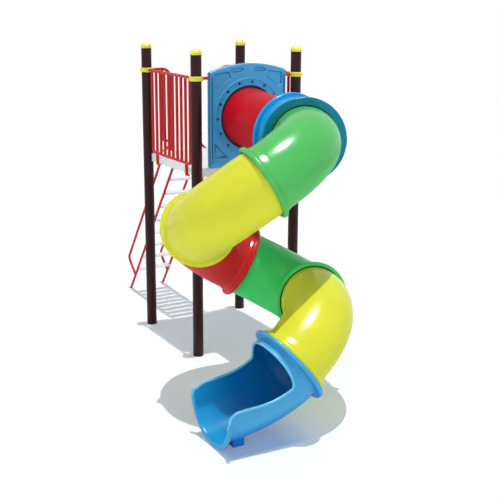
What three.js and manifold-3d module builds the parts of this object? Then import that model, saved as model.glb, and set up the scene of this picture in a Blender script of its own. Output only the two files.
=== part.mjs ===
// A playground slide: a four-post tower with a deck, guards and a ladder, and a closed spiral tube
// of moulded elbows that starts at a panel on the deck and ends in an open chute on the ground.
// Millimetres, +Z up. The tube leaves the tower towards -Y, and the ladder climbs it from +Y.
import * as THREE from "three";
import { mergeVertices } from "three/addons/utils/BufferGeometryUtils.js";
import Module from "manifold-3d";

const wasm = await Module();
wasm.setup();

// Clearances between pieces, and how far a cutter runs past what it cuts
const seatGap = 0.3;
const slipGap = 1;
const overrun = 20;

// Posts, their caps and their rail clamps
const postSpacing = 1215;
const postRadius = 57;
const postWall = 3;
const postFootPlate = 6;
const postAboveDeck = 1185;
const capOverhang = 3;
const capSkirt = 16;
const capDome = 46;
const capPlugDepth = 30;
const clampWall = 17;
const clampHeight = 48;
const clampSplit = 2;
const clampBelowCrown = 136;

// Deck
const deckDepth = 90;
const deckSheet = 4;
const deckGusset = 150;
const deckRibWidth = 30;

// Steel tubes of the guards and the ladder
const railRadius = 16;
const barRadius = 16;

// Side barriers
const barrierPostGap = 87.5;
const barrierHalfSpan = postSpacing / 2 - postRadius - barrierPostGap;
const barrierBarPitch = 103;
const barrierFootRail = 32;
const barrierCorner = 45;
const barrierLegInset = 98;
const barrierLegDrop = 92;
const boltCapRadius = 15;
const boltCapDepth = 11;
const boltCapRise = 32;

// Guards beside the ladder
const gateHalfWidth = 315;
const gateCorner = 100;
const gateBarInset = 100;
const gateFootRail = 120;
const gateFootCorner = 30;
const gateLegDrop = 70;
const gateClipWidth = 24;
const gateClipHeight = 62;
const gateClipDepth = 10;
const gateClipRise = 15;

// Straight entry tube and its flange behind the panel
const entryRadius = 312;
const entryReach = 780;
const entryPitch = 5;
const entryFlangeWidth = 88;
const entryFlangeRadius = entryRadius + entryFlangeWidth;
const entryFlangeThickness = 10;

// Entry panel and the ring round its hole, which both follow the entry tube
const holeClearance = 24;
const holeRadius = entryRadius + holeClearance;
const ringWidth = 79;
const ringOuterRadius = holeRadius + ringWidth;
const ringThickness = 12;
const ringBoltCount = 15;
const ringBoltRadius = 13;
const ringBoltHeight = 6;
const panelThickness = 60;
const panelBesideRing = 50;
const panelBelowRing = 102;
const panelAboveRing = 149;
const panelArchRise = 80;
const panelHalfWidth = ringOuterRadius + panelBesideRing;
const holeAboveDeck = ringOuterRadius + panelBelowRing;
const panelCrown = holeAboveDeck + ringOuterRadius + panelAboveRing;
const panelShoulder = panelCrown - panelArchRise;
const clampAboveDeck = panelCrown - clampBelowCrown;

// Moulded tube that all the elbows share
const tubeRadius = 325;
const tubeWall = 8;
const socketDepth = 50;
const bellRise = 50;
const lipRadius = 371;
const lipThickness = 42;
const lipRound = 16;
const mouthBevel = 9;

// Elbows, each rolled about the tube's axis against the piece before it, in degrees
const elbowBendRadius = 635;
const elbowAngle = 83;
const elbows = [
  { name: "elbow_1_green", roll: 52, colour: 0x5abf62 },
  { name: "elbow_2_yellow", roll: 13, colour: 0xe1e13e },
  { name: "elbow_3_red", roll: 58, colour: 0xbe2a32 },
  { name: "elbow_4_green", roll: 14, colour: 0x1fa84b },
  { name: "elbow_5_yellow", roll: 67, colour: 0xe1e13e },
];

// Collar between the entry tube and the first elbow
const collarLength = 470;
const collarAngle = 24;
const collarRoll = -20;
const collarRadius = 385;
const collarLipRadius = 413;

// Exit chute
const exitRoll = -99;
const exitLead = 411;
const exitReach = 830;
const exitRise = 280;
const exitRadius = 351;
const exitTipRadius = 320;
const exitLipRadius = 368;
const exitLipWidth = 30;
const exitFlangeRadius = 412;
const exitFlangeThickness = 46;
const hoodLength = 142;
const hoodSweep = 80;
const chuteWallAboveAxis = 46;
const chuteWallRise = 36;
const chuteWallLevel = 125;
const chuteTipSweep = 130;
const chuteTipDrop = 115;
const chuteOpeningTurn = -5;

// Foot under the chute
const footSetback = 235;
const footLength = 110;
const footWidth = 220;

// Ladder
const ladderRun = 0.7237;
const ladderLugThickness = 6;
const ladderLugHeight = 130;
const ladderLugBelowDeck = 10;
const firstTread = 322;
const treadCount = 9;
const treadDepth = 100;
const treadThickness = 24;
const handrailOffset = 350;
const handrailBend = 60;
const handrailEnd = 412;
const handrailFoot = 220;
const ladderClear = 47;
const ladderShift = -17.5;
const handrailTopRise = 10;
const handrailTopDrop = 95;

// Facets
const roundSides = 24;
const tubeSides = 24;
const barSides = 8;
const cornerSteps = 4;
const capSides = 16;
const boltSides = 8;
const elbowSteps = 7;
const exitSteps = 10;

// Finishes
const steelBrown = { color: 0x3a2422, roughness: 0.45, metalness: 0.3 };
const capYellow = { color: 0xe1dc28, roughness: 0.4, metalness: 0 };
const railRed = { color: 0xbe3232, roughness: 0.35, metalness: 0.1 };
const deckWhite = { color: 0xe1e8ee, roughness: 0.6, metalness: 0.1 };
const panelBlue = { color: 0x4b96c3, roughness: 0.45, metalness: 0 };
const collarBlue = { color: 0x1482d2, roughness: 0.3, metalness: 0 };
const chuteBlue = { color: 0x50aad7, roughness: 0.3, metalness: 0 };
const tubeRed = { color: 0xbe1c2a, roughness: 0.3, metalness: 0 };

const vector = (x, y, z) => new THREE.Vector3(x, y, z);
const radians = THREE.MathUtils.degToRad;

function piece(name, geometry, finish) {
  const mesh = new THREE.Mesh(geometry, new THREE.MeshStandardMaterial(finish));
  mesh.name = name;
  return mesh;
}

// Boolean joins and cuts, on closed geometries

function solidOf(geometry) {
  const bare = geometry.clone();
  bare.deleteAttribute("normal");
  bare.deleteAttribute("uv");
  const merged = mergeVertices(bare);
  return new wasm.Manifold(new wasm.Mesh({
    numProp: 3,
    vertProperties: merged.attributes.position.array,
    triVerts: Uint32Array.from(merged.index.array),
  }));
}

function geometryOf(solid) {
  const mesh = solid.getMesh();
  const geometry = new THREE.BufferGeometry();
  geometry.setAttribute("position", new THREE.BufferAttribute(mesh.vertProperties, mesh.numProp));
  geometry.setIndex(new THREE.BufferAttribute(mesh.triVerts, 1));
  geometry.computeVertexNormals();
  return geometry;
}

function join(...geometries) {
  return geometryOf(geometries.map(solidOf).reduce((whole, next) => whole.add(next)));
}

function cut(geometry, ...cutters) {
  return geometryOf(cutters.map(solidOf).reduce((rest, cutter) => rest.subtract(cutter), solidOf(geometry)));
}

function common(geometry, other) {
  return geometryOf(solidOf(geometry).intersect(solidOf(other)));
}

// Basic shapes, with +Z as their axis

function lathe(profile, sides) {
  const points = profile.map(([along, radius]) => new THREE.Vector2(radius, along));
  return new THREE.LatheGeometry(points, sides).rotateX(Math.PI / 2);
}

function disc(radius, from, to, sides = roundSides) {
  return lathe([[from, 0], [from, radius], [to, radius], [to, 0]], sides);
}

function block(low, high) {
  const size = high.clone().sub(low);
  const middle = high.clone().add(low).divideScalar(2);
  return new THREE.BoxGeometry(size.x, size.y, size.z).translate(middle.x, middle.y, middle.z);
}

// A path that ExtrudeGeometry follows station by station, so a straight run takes one step
class StationPath extends THREE.Curve {
  constructor(stations) {
    super();
    this.stations = stations;
  }

  legAt(share) {
    const last = this.stations.length - 1;
    const leg = Math.min(Math.floor(share * last), last - 1);
    return { leg, rest: share * last - leg };
  }

  getPointAt(share) {
    const { leg, rest } = this.legAt(share);
    return this.stations[leg].clone().lerp(this.stations[leg + 1], rest);
  }

  getTangentAt(share) {
    const station = Math.round(share * (this.stations.length - 1));
    const before = this.stations[Math.max(station - 1, 0)];
    const here = this.stations[station];
    const after = this.stations[Math.min(station + 1, this.stations.length - 1)];
    const arriving = here.clone().sub(before).normalize();
    const leaving = after.clone().sub(here).normalize();
    return arriving.add(leaving).normalize();
  }
}

// The corners of a polyline replaced by arcs
function rounded(corners, radius) {
  const stations = [corners[0]];
  for (let i = 1; i < corners.length - 1; i += 1) {
    const arriving = corners[i].clone().sub(corners[i - 1]).normalize();
    const leaving = corners[i + 1].clone().sub(corners[i]).normalize();
    const turn = arriving.angleTo(leaving);
    const axis = arriving.clone().cross(leaving).normalize();
    const start = corners[i].clone().addScaledVector(arriving, -radius * Math.tan(turn / 2));
    const centre = start.clone().addScaledVector(axis.clone().cross(arriving), radius);
    for (let step = 0; step <= cornerSteps; step += 1) {
      const spoke = start.clone().sub(centre).applyAxisAngle(axis, (turn * step) / cornerSteps);
      stations.push(centre.clone().add(spoke));
    }
  }
  stations.push(corners[corners.length - 1]);
  return stations;
}

// A bar's radius is measured to its facets, and its corners stand a little further out
const barCorner = (radius) => radius / Math.cos(Math.PI / barSides);

function bar(stations, radius) {
  const outline = new THREE.Shape();
  for (let side = 0; side < barSides; side += 1) {
    const angle = (2 * Math.PI * (side + 1 / 2)) / barSides;
    const place = [barCorner(radius) * Math.cos(angle), barCorner(radius) * Math.sin(angle)];
    if (side === 0) outline.moveTo(...place);
    else outline.lineTo(...place);
  }
  outline.closePath();
  return new THREE.ExtrudeGeometry(outline, {
    steps: stations.length - 1,
    extrudePath: new StationPath(stations),
    bevelEnabled: false,
  });
}

// Moulded tube pieces: a straight lathe form along +Z, bent so that its axis follows a curve in XZ

// An arc between two straight ends
class BendCurve extends THREE.Curve {
  constructor(lead, radius, angle, tail) {
    super();
    this.lead = lead;
    this.radius = radius;
    this.angle = angle;
    this.tail = tail;
  }

  getLength() {
    return this.lead + this.radius * this.angle + this.tail;
  }

  turnedAt(share) {
    return THREE.MathUtils.clamp((share * this.getLength() - this.lead) / this.radius, 0, this.angle);
  }

  getTangentAt(share) {
    const turned = this.turnedAt(share);
    return vector(Math.sin(turned), 0, Math.cos(turned));
  }

  getPointAt(share) {
    const turned = this.turnedAt(share);
    const onArc = vector(this.radius * (1 - Math.cos(turned)), 0, this.lead + this.radius * Math.sin(turned));
    const straight = share * this.getLength() - this.lead - this.radius * turned;
    return onArc.addScaledVector(this.getTangentAt(share), straight);
  }
}

function bentAlong(geometry, curve) {
  const length = curve.getLength();
  const places = geometry.attributes.position;
  for (let i = 0; i < places.count; i += 1) {
    const along = THREE.MathUtils.clamp(places.getZ(i), 0, length);
    const centre = curve.getPointAt(along / length);
    const tangent = curve.getTangentAt(along / length);
    const side = vector(tangent.z, 0, -tangent.x);
    const place = centre.addScaledVector(side, places.getX(i)).addScaledVector(tangent, places.getZ(i) - along);
    places.setXYZ(i, place.x, places.getY(i), place.z);
  }
  geometry.computeVertexNormals();
  return geometry;
}

// Stations of one wall of a profile, with the radius running evenly from one end to the other
function wall(from, to, radiusFrom, radiusTo, steps) {
  const stations = [];
  for (let step = 0; step <= steps; step += 1) {
    const share = step / steps;
    stations.push([THREE.MathUtils.lerp(from, to, share), THREE.MathUtils.lerp(radiusFrom, radiusTo, share)]);
  }
  return stations;
}

// A socket clears the tube that goes into it by the slip gap, measured at the middle of its facets
const socketRadiusFor = (spigotRadius) => (spigotRadius + slipGap) / Math.cos(Math.PI / tubeSides);

// The rounded outside of a lip between two distances along the axis
function lipOutline(from, to, radius) {
  return [
    [from, radius - lipRound],
    [from + lipRound, radius],
    [to - lipRound, radius],
    [to, radius - lipRound],
  ];
}

// A socket's inside, from the lip's face at one distance to the shoulder that the next tube stops at
function socketOutline(face, inward, spigotRadius) {
  const radius = socketRadiusFor(spigotRadius);
  return [
    [face, radius + mouthBevel],
    [face + inward * mouthBevel, radius],
    [face + inward * socketDepth, radius],
  ];
}

const closed = (profile) => [...profile, profile[0]];
const tubeInnerRadius = tubeRadius - tubeWall;
const spigotStart = -socketDepth + seatGap;

function elbowGeometry(curve) {
  const length = curve.getLength();
  const bellRadius = socketRadiusFor(tubeRadius) + tubeWall;
  const bellStart = length - socketDepth - bellRise;
  const profile = closed([
    [spigotStart, tubeRadius],
    ...wall(0, bellStart, tubeRadius, tubeRadius, elbowSteps),
    [length - socketDepth, bellRadius],
    [length - lipThickness, bellRadius],
    ...lipOutline(length - lipThickness, length, lipRadius),
    ...socketOutline(length, -1, tubeRadius),
    ...wall(length - socketDepth, 0, tubeInnerRadius, tubeInnerRadius, elbowSteps),
    [spigotStart, tubeInnerRadius],
  ]);
  return bentAlong(lathe(profile, tubeSides), curve);
}

function collarGeometry(curve) {
  const length = curve.getLength();
  const innerRadius = collarRadius - tubeWall;
  const body = [lipThickness + bellRise, length - lipThickness - bellRise];
  const profile = closed([
    ...lipOutline(0, lipThickness, collarLipRadius),
    ...wall(...body, collarRadius, collarRadius, cornerSteps),
    ...lipOutline(length - lipThickness, length, collarLipRadius),
    ...socketOutline(length, -1, tubeRadius),
    [length - socketDepth, tubeInnerRadius],
    [length - socketDepth - tubeWall, tubeInnerRadius],
    ...wall(body[1] - tubeWall, body[0] + tubeWall, innerRadius, innerRadius, cornerSteps),
    [socketDepth + tubeWall, entryRadius - tubeWall],
    [socketDepth, entryRadius - tubeWall],
    ...socketOutline(0, 1, entryRadius).reverse(),
  ]);
  return bentAlong(lathe(profile, tubeSides), curve);
}

function entryTubeGeometry() {
  const flangeBack = panelThickness + entryFlangeThickness;
  const end = entryReach + socketDepth - seatGap;
  const innerRadius = entryRadius - tubeWall;
  const tube = lathe(closed([
    [-flangeBack - overrun, entryRadius],
    [end, entryRadius],
    [end, innerRadius],
    [-flangeBack - overrun, innerRadius],
  ]), tubeSides);
  const flange = lathe(closed([
    [-flangeBack, entryRadius - tubeWall / 2],
    [-flangeBack, entryFlangeRadius],
    [-panelThickness - seatGap, entryFlangeRadius],
    [-panelThickness - seatGap, entryRadius - tubeWall / 2],
  ]), tubeSides).rotateX(radians(entryPitch));
  return { tube, flange, flangeBack };
}

// The chute's axis: straight on from the last elbow, then curving up until it is nearly level
const exitCurve = new THREE.QuadraticBezierCurve3(
  vector(0, 0, 0),
  vector(0, 0, exitLead),
  vector(exitRise, 0, exitReach),
);

// The chute's wall from the neck to the tip's lip, moved out or in by an offset
function exitWall(offset) {
  const to = exitCurve.getLength() - exitLipWidth;
  return wall(exitFlangeThickness + bellRise, to, exitRadius + offset, exitTipRadius + offset, exitSteps);
}

// What is cut from the chute's tube to open it: everything above the hood's edge and the side walls.
// It is drawn along the straight tube, as distance along it and height above its axis.
function chuteOpening() {
  const length = exitCurve.getLength();
  const wallStart = hoodLength + hoodSweep;
  const wallEnd = length - chuteTipSweep;
  const top = 2 * exitRadius;
  const wallHeight = (along) => {
    const share = THREE.MathUtils.smoothstep(along, wallStart + chuteWallLevel, wallEnd);
    return chuteWallAboveAxis + chuteWallRise * share;
  };
  const quarter = (step, steps) => (Math.PI / 2) * (step / steps);
  const edge = [new THREE.Vector2(hoodLength, top)];
  for (let step = 0; step <= cornerSteps; step += 1) {
    const angle = quarter(step, cornerSteps);
    const drop = (exitRadius - chuteWallAboveAxis) * Math.sin(angle);
    edge.push(new THREE.Vector2(hoodLength + hoodSweep * (1 - Math.cos(angle)), exitRadius - drop));
  }
  for (let step = 1; step <= exitSteps; step += 1) {
    const along = THREE.MathUtils.lerp(wallStart, wallEnd, step / exitSteps);
    edge.push(new THREE.Vector2(along, wallHeight(along)));
  }
  for (let step = 1; step <= cornerSteps; step += 1) {
    const angle = quarter(step, cornerSteps);
    const drop = chuteTipDrop * (1 - Math.cos(angle));
    edge.push(new THREE.Vector2(wallEnd + chuteTipSweep * Math.sin(angle), wallHeight(wallEnd) - drop));
  }
  const last = edge[edge.length - 1];
  edge.push(new THREE.Vector2(last.x + overrun, last.y));
  edge.push(new THREE.Vector2(last.x + overrun, top));
  const halfWidth = exitRadius + overrun;
  const cutter = new THREE.ExtrudeGeometry(new THREE.Shape(edge), { depth: 2 * halfWidth, bevelEnabled: false });
  cutter.translate(0, 0, -halfWidth);
  cutter.applyMatrix4(new THREE.Matrix4().makeBasis(vector(0, 0, 1), vector(1, 0, 0), vector(0, 1, 0)));
  return bentAlong(cutter.rotateZ(radians(chuteOpeningTurn)), exitCurve);
}

function exitGeometry() {
  const length = exitCurve.getLength();
  const tube = lathe(closed([
    [spigotStart, tubeRadius],
    [seatGap, tubeRadius],
    ...lipOutline(seatGap, exitFlangeThickness, exitFlangeRadius),
    [exitFlangeThickness, exitRadius],
    ...exitWall(0),
    [length - exitLipWidth / 2, exitLipRadius],
    [length, exitLipRadius],
    [length, exitTipRadius - tubeWall],
    ...exitWall(-tubeWall).reverse(),
    [exitFlangeThickness, tubeInnerRadius],
    [spigotStart, tubeInnerRadius],
  ]), tubeSides);
  return cut(bentAlong(tube, exitCurve), chuteOpening());
}

// The slide is a chain: each group starts where the piece before it ends, with +Z along the tube

function nextAfter(group, curve) {
  const next = new THREE.Group();
  const tangent = curve.getTangentAt(1);
  next.position.copy(curve.getPointAt(1));
  next.rotateY(Math.atan2(tangent.x, tangent.z));
  group.add(next);
  return next;
}

function slideChain() {
  const entry = new THREE.Group();
  const heading = vector(0, -Math.cos(radians(entryPitch)), -Math.sin(radians(entryPitch)));
  const sideways = vector(-1, 0, 0);
  const axes = new THREE.Matrix4().makeBasis(sideways, heading.clone().cross(sideways), heading);
  entry.quaternion.setFromRotationMatrix(axes);

  const { tube, flange, flangeBack } = entryTubeGeometry();
  const trim = block(
    vector(-entryFlangeRadius, -entryFlangeRadius, -flangeBack - 2 * entryFlangeRadius),
    vector(entryFlangeRadius, entryFlangeRadius, -flangeBack),
  ).rotateX(radians(entryPitch));
  const bore = disc(entryRadius - tubeWall, -2 * flangeBack, entryReach, tubeSides);
  entry.add(piece("entry_tube_red", cut(join(tube, flange), trim, bore), tubeRed));

  const collar = new THREE.Group();
  collar.position.set(0, 0, entryReach);
  collar.rotateZ(radians(collarRoll));
  entry.add(collar);
  const collarBendRadius = (collarLength - 2 * socketDepth) / radians(collarAngle);
  const collarCurve = new BendCurve(socketDepth, collarBendRadius, radians(collarAngle), socketDepth);
  collar.add(piece("collar_blue", collarGeometry(collarCurve), collarBlue));

  const elbowCurve = new BendCurve(0, elbowBendRadius, radians(elbowAngle), socketDepth);
  let group = nextAfter(collar, collarCurve);
  for (const elbow of elbows) {
    group.rotateZ(radians(elbow.roll));
    const finish = { color: elbow.colour, roughness: 0.3, metalness: 0 };
    group.add(piece(elbow.name, elbowGeometry(elbowCurve), finish));
    group = nextAfter(group, elbowCurve);
  }
  group.rotateZ(radians(exitRoll));
  const exit = piece("exit_chute_blue", exitGeometry(), chuteBlue);
  group.add(exit);
  return { entry, exit };
}

// The chute's tip stands on the ground, and that sets the height of the entry and of the deck

const postPlace = postSpacing / 2;
const panelFront = postPlace + panelThickness / 2;
const { entry, exit } = slideChain();
entry.position.set(0, -panelFront, 0);
entry.updateMatrixWorld(true);
const holeHeight = -new THREE.Box3().setFromObject(exit, true).min.z;
entry.position.z = holeHeight;
entry.updateMatrixWorld(true);
const deckHeight = holeHeight - holeAboveDeck;

// A foot under the chute, flat on the ground and hollowed to the chute's underside
function chuteFoot() {
  const length = exitCurve.getLength();
  const toWorld = (geometry) => geometry.applyMatrix4(exit.matrixWorld);
  const share = 1 - footSetback / length;
  const place = exitCurve.getPointAt(share).applyMatrix4(exit.matrixWorld);
  const heading = exitCurve.getTangentAt(share).transformDirection(exit.matrixWorld);
  const base = block(
    vector(-footLength / 2, -footWidth / 2, 0),
    vector(footLength / 2, footWidth / 2, place.z),
  );
  base.rotateZ(Math.atan2(heading.y, heading.x)).translate(place.x, place.y, 0);
  const bed = toWorld(bentAlong(lathe([
    [0, 0],
    [0, exitRadius + seatGap],
    ...exitWall(seatGap),
    [length, exitTipRadius + seatGap],
    [length, 0],
  ], tubeSides), exitCurve));
  return piece("chute_foot", cut(base, bed), chuteBlue);
}

// Tower

function postAndCap(x, y, name) {
  const height = deckHeight + postAboveDeck;
  const boreRadius = postRadius - postWall;
  const post = piece(`post_${name}`, lathe([
    [0, 0],
    [0, postRadius],
    [height, postRadius],
    [height, boreRadius],
    [postFootPlate, boreRadius],
    [postFootPlate, 0],
  ], roundSides), steelBrown);
  post.position.set(x, y, 0);

  const capRadius = postRadius + capOverhang;
  const plugRadius = boreRadius * Math.cos(Math.PI / roundSides) - seatGap;
  const dome = [];
  for (let step = 0; step < cornerSteps; step += 1) {
    const angle = (Math.PI / 2) * (step / cornerSteps);
    dome.push([capSkirt + capDome * Math.sin(angle), capRadius * Math.cos(angle)]);
  }
  const cap = piece(`post_cap_${name}`, lathe([
    [-capPlugDepth, 0],
    [-capPlugDepth, plugRadius],
    [0, plugRadius],
    [0, capRadius],
    ...dome,
    [capSkirt + capDome, 0],
  ], capSides), capYellow);
  cap.position.set(x, y, height);
  return [post, cap];
}

const clampRadius = postRadius + seatGap + clampWall;

// Half a clamp, from a split at 45 degrees to the rails round to the one opposite
function clampHalf(x, y, startAngle, name) {
  const steps = roundSides / 2;
  const inner = postRadius + seatGap;
  const slot = (angle, radius, sign) => {
    const shift = (sign * clampSplit) / 2;
    const along = Math.sqrt(radius * radius - shift * shift);
    return [
      along * Math.cos(angle) - shift * Math.sin(angle),
      along * Math.sin(angle) + shift * Math.cos(angle),
    ];
  };
  const arc = (radius) => {
    const points = [new THREE.Vector2(...slot(startAngle, radius, 1))];
    for (let step = 1; step < steps; step += 1) {
      const angle = startAngle + (Math.PI * step) / steps;
      points.push(new THREE.Vector2(radius * Math.cos(angle), radius * Math.sin(angle)));
    }
    points.push(new THREE.Vector2(...slot(startAngle + Math.PI, radius, -1)));
    return points;
  };
  const outline = new THREE.Shape([...arc(clampRadius), ...arc(inner).reverse()]);
  const half = piece(name, new THREE.ExtrudeGeometry(outline, {
    depth: clampHeight,
    bevelEnabled: false,
  }), capYellow);
  half.position.set(x, y, deckHeight + clampAboveDeck - clampHeight / 2);
  return half;
}

// The skirt of the deck stands just inside the bars that run down its outside
const deckEdge = postPlace - barRadius - seatGap;

function deck() {
  const top = deckHeight;
  const bottom = deckHeight - deckDepth;
  const plate = block(vector(-deckEdge, -deckEdge, bottom), vector(deckEdge, deckEdge, top));
  const inside = deckEdge - deckSheet;
  const corner = inside - deckGusset;
  const ribHalf = deckRibWidth / 2;
  // One quarter of the hollow below the sheet, between the ribs and a corner gusset
  const quarter = new THREE.Shape([
    new THREE.Vector2(ribHalf, ribHalf),
    new THREE.Vector2(inside, ribHalf),
    new THREE.Vector2(inside, corner),
    new THREE.Vector2(corner, inside),
    new THREE.Vector2(ribHalf, inside),
  ]);
  const cutters = [];
  for (let turn = 0; turn < 4; turn += 1) {
    const hollow = new THREE.ExtrudeGeometry(quarter, {
      depth: deckDepth - deckSheet + overrun,
      bevelEnabled: false,
    });
    cutters.push(hollow.rotateZ((Math.PI / 2) * turn).translate(0, 0, bottom - overrun));
  }
  for (const x of [-postPlace, postPlace]) {
    for (const y of [-postPlace, postPlace]) {
      cutters.push(disc(postRadius + seatGap, bottom - overrun, top + overrun).translate(x, y, 0));
    }
  }
  return piece("deck", cut(plate, ...cutters), deckWhite);
}

const railHeight = deckHeight + clampAboveDeck;
const railReach = postPlace - clampRadius - seatGap;

// A barrier in the plane of two posts, built along Y and placed at the side given
function barrier(side, name) {
  const foot = deckHeight + barrierFootRail;
  const parts = [bar([vector(0, -railReach, railHeight), vector(0, railReach, railHeight)], railRadius)];
  parts.push(bar(rounded([
    vector(0, -barrierHalfSpan, railHeight),
    vector(0, -barrierHalfSpan, foot),
    vector(0, barrierHalfSpan, foot),
    vector(0, barrierHalfSpan, railHeight),
  ], barrierCorner), barRadius));
  const count = Math.round((2 * barrierHalfSpan) / barrierBarPitch) - 1;
  for (let i = 1; i <= count; i += 1) {
    const y = -barrierHalfSpan + (2 * barrierHalfSpan * i) / (count + 1);
    parts.push(bar([vector(0, y, foot), vector(0, y, railHeight)], barRadius));
  }
  const legPlace = barrierHalfSpan - barrierLegInset;
  for (const y of [-legPlace, legPlace]) {
    parts.push(bar([vector(0, y, foot), vector(0, y, deckHeight - barrierLegDrop)], barRadius));
  }
  const frame = piece(`barrier_${name}`, join(...parts), railRed);
  frame.position.x = side * postPlace;
  const pieces = [frame];
  for (const [end, y] of [["front", -legPlace], ["back", legPlace]]) {
    const cap = piece(`bolt_cap_${name}_${end}`, boltCap(), capYellow);
    cap.rotateY((side * Math.PI) / 2);
    cap.position.set(side * (postPlace + barRadius + seatGap), y, deckHeight - barrierLegDrop + boltCapRise);
    pieces.push(cap);
  }
  return pieces;
}

function boltCap() {
  return lathe([
    [0, 0],
    [0, boltCapRadius],
    [boltCapDepth / 2, boltCapRadius],
    [boltCapDepth, boltCapRadius / 2],
    [boltCapDepth, 0],
  ], boltSides);
}

// A guard that closes the gap between a back post and the ladder opening
function gateGuard(side, name) {
  const outer = side * gateHalfWidth;
  const foot = deckHeight + gateFootRail;
  const parts = [bar(rounded([
    vector(side * railReach, 0, railHeight),
    vector(outer, 0, railHeight),
    vector(outer, 0, deckHeight - gateLegDrop),
  ], gateCorner), barRadius)];
  const middle = outer + side * gateBarInset;
  parts.push(bar(rounded([
    vector(middle, 0, railHeight),
    vector(middle, 0, foot),
    vector(outer, 0, foot),
  ], gateFootCorner), barRadius));
  const frame = piece(`gate_guard_${name}`, join(...parts), railRed);
  frame.position.y = postPlace;

  const clip = piece(`gate_clip_${name}`, block(
    vector(outer - gateClipWidth / 2, 0, 0),
    vector(outer + gateClipWidth / 2, gateClipDepth, gateClipHeight),
  ), capYellow);
  clip.position.set(0, postPlace + barRadius + seatGap, deckHeight + gateClipRise - gateClipHeight / 2);
  return [frame, clip];
}

// Entry panel, threaded on a rail between the two front clamps
function entryPanel() {
  const outline = new THREE.Shape();
  const rise = panelCrown - panelShoulder;
  const archRadius = (panelHalfWidth * panelHalfWidth + rise * rise) / (2 * rise);
  const archSpread = Math.asin(panelHalfWidth / archRadius);
  outline.moveTo(-panelHalfWidth, seatGap);
  outline.lineTo(panelHalfWidth, seatGap);
  outline.absarc(0, panelCrown - archRadius, archRadius, Math.PI / 2 - archSpread, Math.PI / 2 + archSpread);
  outline.closePath();
  const hole = new THREE.Path();
  hole.absarc(0, holeAboveDeck, holeRadius, 0, 2 * Math.PI, true);
  outline.holes.push(hole);
  const plate = new THREE.ExtrudeGeometry(outline, {
    depth: panelThickness,
    curveSegments: roundSides,
    bevelEnabled: false,
  });
  plate.rotateX(Math.PI / 2).translate(0, panelThickness / 2, 0);
  const boreRadius = (barCorner(railRadius) + seatGap) / Math.cos(Math.PI / roundSides);
  const bore = disc(boreRadius, -panelHalfWidth - overrun, panelHalfWidth + overrun);
  bore.rotateY(Math.PI / 2).translate(0, 0, clampAboveDeck);
  const panel = piece("entry_panel", cut(plate, bore), panelBlue);
  panel.position.set(0, -postPlace, deckHeight);

  const rail = piece("entry_panel_rail", bar([
    vector(-railReach, 0, 0),
    vector(railReach, 0, 0),
  ], railRadius), railRed);
  rail.position.set(0, -postPlace, railHeight);
  return [panel, rail];
}

// A ring bolted round the hole on the front of the panel, with its bolt caps
function entryRing() {
  const parts = [lathe(closed([
    [0, holeRadius],
    [0, ringOuterRadius],
    [ringThickness, ringOuterRadius],
    [ringThickness, holeRadius],
  ]), roundSides)];
  const boltCircle = (holeRadius + ringOuterRadius) / 2;
  for (let i = 0; i < ringBoltCount; i += 1) {
    const angle = (2 * Math.PI * (i + 1 / 2)) / ringBoltCount;
    const cap = disc(ringBoltRadius, ringThickness / 2, ringThickness + ringBoltHeight, boltSides);
    parts.push(cap.translate(boltCircle * Math.cos(angle), boltCircle * Math.sin(angle), 0));
  }
  const ring = piece("entry_ring", join(...parts), panelBlue);
  ring.rotateX(Math.PI / 2);
  ring.position.set(0, -panelFront - seatGap, holeHeight);
  return ring;
}

// Ladder

const ladderTop = deckEdge + seatGap;
const ladderTopHeight = deckHeight - ladderLugBelowDeck - ladderLugHeight / 2;
const ladderFoot = ladderTop + ladderLugThickness + ladderRun * ladderTopHeight;
const stringerAt = (height) => ladderFoot - ladderRun * height;
const stringerPlace = gateHalfWidth - barCorner(barRadius) - ladderClear - barCorner(railRadius);
const ladderSpan = [
  [-stringerPlace + ladderShift, "left"],
  [stringerPlace + ladderShift, "right"],
];

function stringerTube(radius) {
  return bar([
    vector(0, stringerAt(-4 * railRadius), -4 * railRadius),
    vector(0, stringerAt(ladderTopHeight + 4 * railRadius), ladderTopHeight + 4 * railRadius),
  ], radius);
}

function stringer(x, name) {
  const front = ladderTop + ladderLugThickness / 2;
  const space = block(
    vector(-2 * railRadius, front, 0),
    vector(2 * railRadius, ladderFoot + 4 * railRadius, deckHeight),
  );
  const lug = block(
    vector(-barCorner(railRadius), ladderTop, ladderTopHeight - ladderLugHeight / 2),
    vector(barCorner(railRadius), ladderTop + ladderLugThickness, ladderTopHeight + ladderLugHeight / 2),
  );
  const mesh = piece(`stringer_${name}`, join(common(stringerTube(railRadius), space), lug), railRed);
  mesh.position.x = x;
  return mesh;
}

function tread(index) {
  const pitch = (deckHeight - firstTread) / treadCount;
  const height = firstTread + pitch * index;
  const halfWidth = stringerPlace - railRadius - seatGap;
  const mesh = piece(`tread_${index + 1}`, block(
    vector(-halfWidth, -treadDepth / 2, -treadThickness / 2),
    vector(halfWidth, treadDepth / 2, treadThickness / 2),
  ), deckWhite);
  mesh.position.set(ladderShift, stringerAt(height), height);
  return mesh;
}

function handrail(x, name) {
  const railAt = (height) => stringerAt(height) + handrailOffset;
  const high = deckHeight + handrailTopRise;
  const joint = deckHeight - handrailTopDrop;
  const tube = bar(rounded([
    vector(0, stringerAt(joint), joint),
    vector(0, railAt(high), high),
    vector(0, railAt(handrailEnd), handrailEnd),
    vector(0, stringerAt(handrailFoot), handrailFoot),
  ], handrailBend), railRadius);
  const mesh = piece(`handrail_${name}`, cut(tube, stringerTube(railRadius + seatGap)), railRed);
  mesh.position.x = x;
  return mesh;
}

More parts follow.
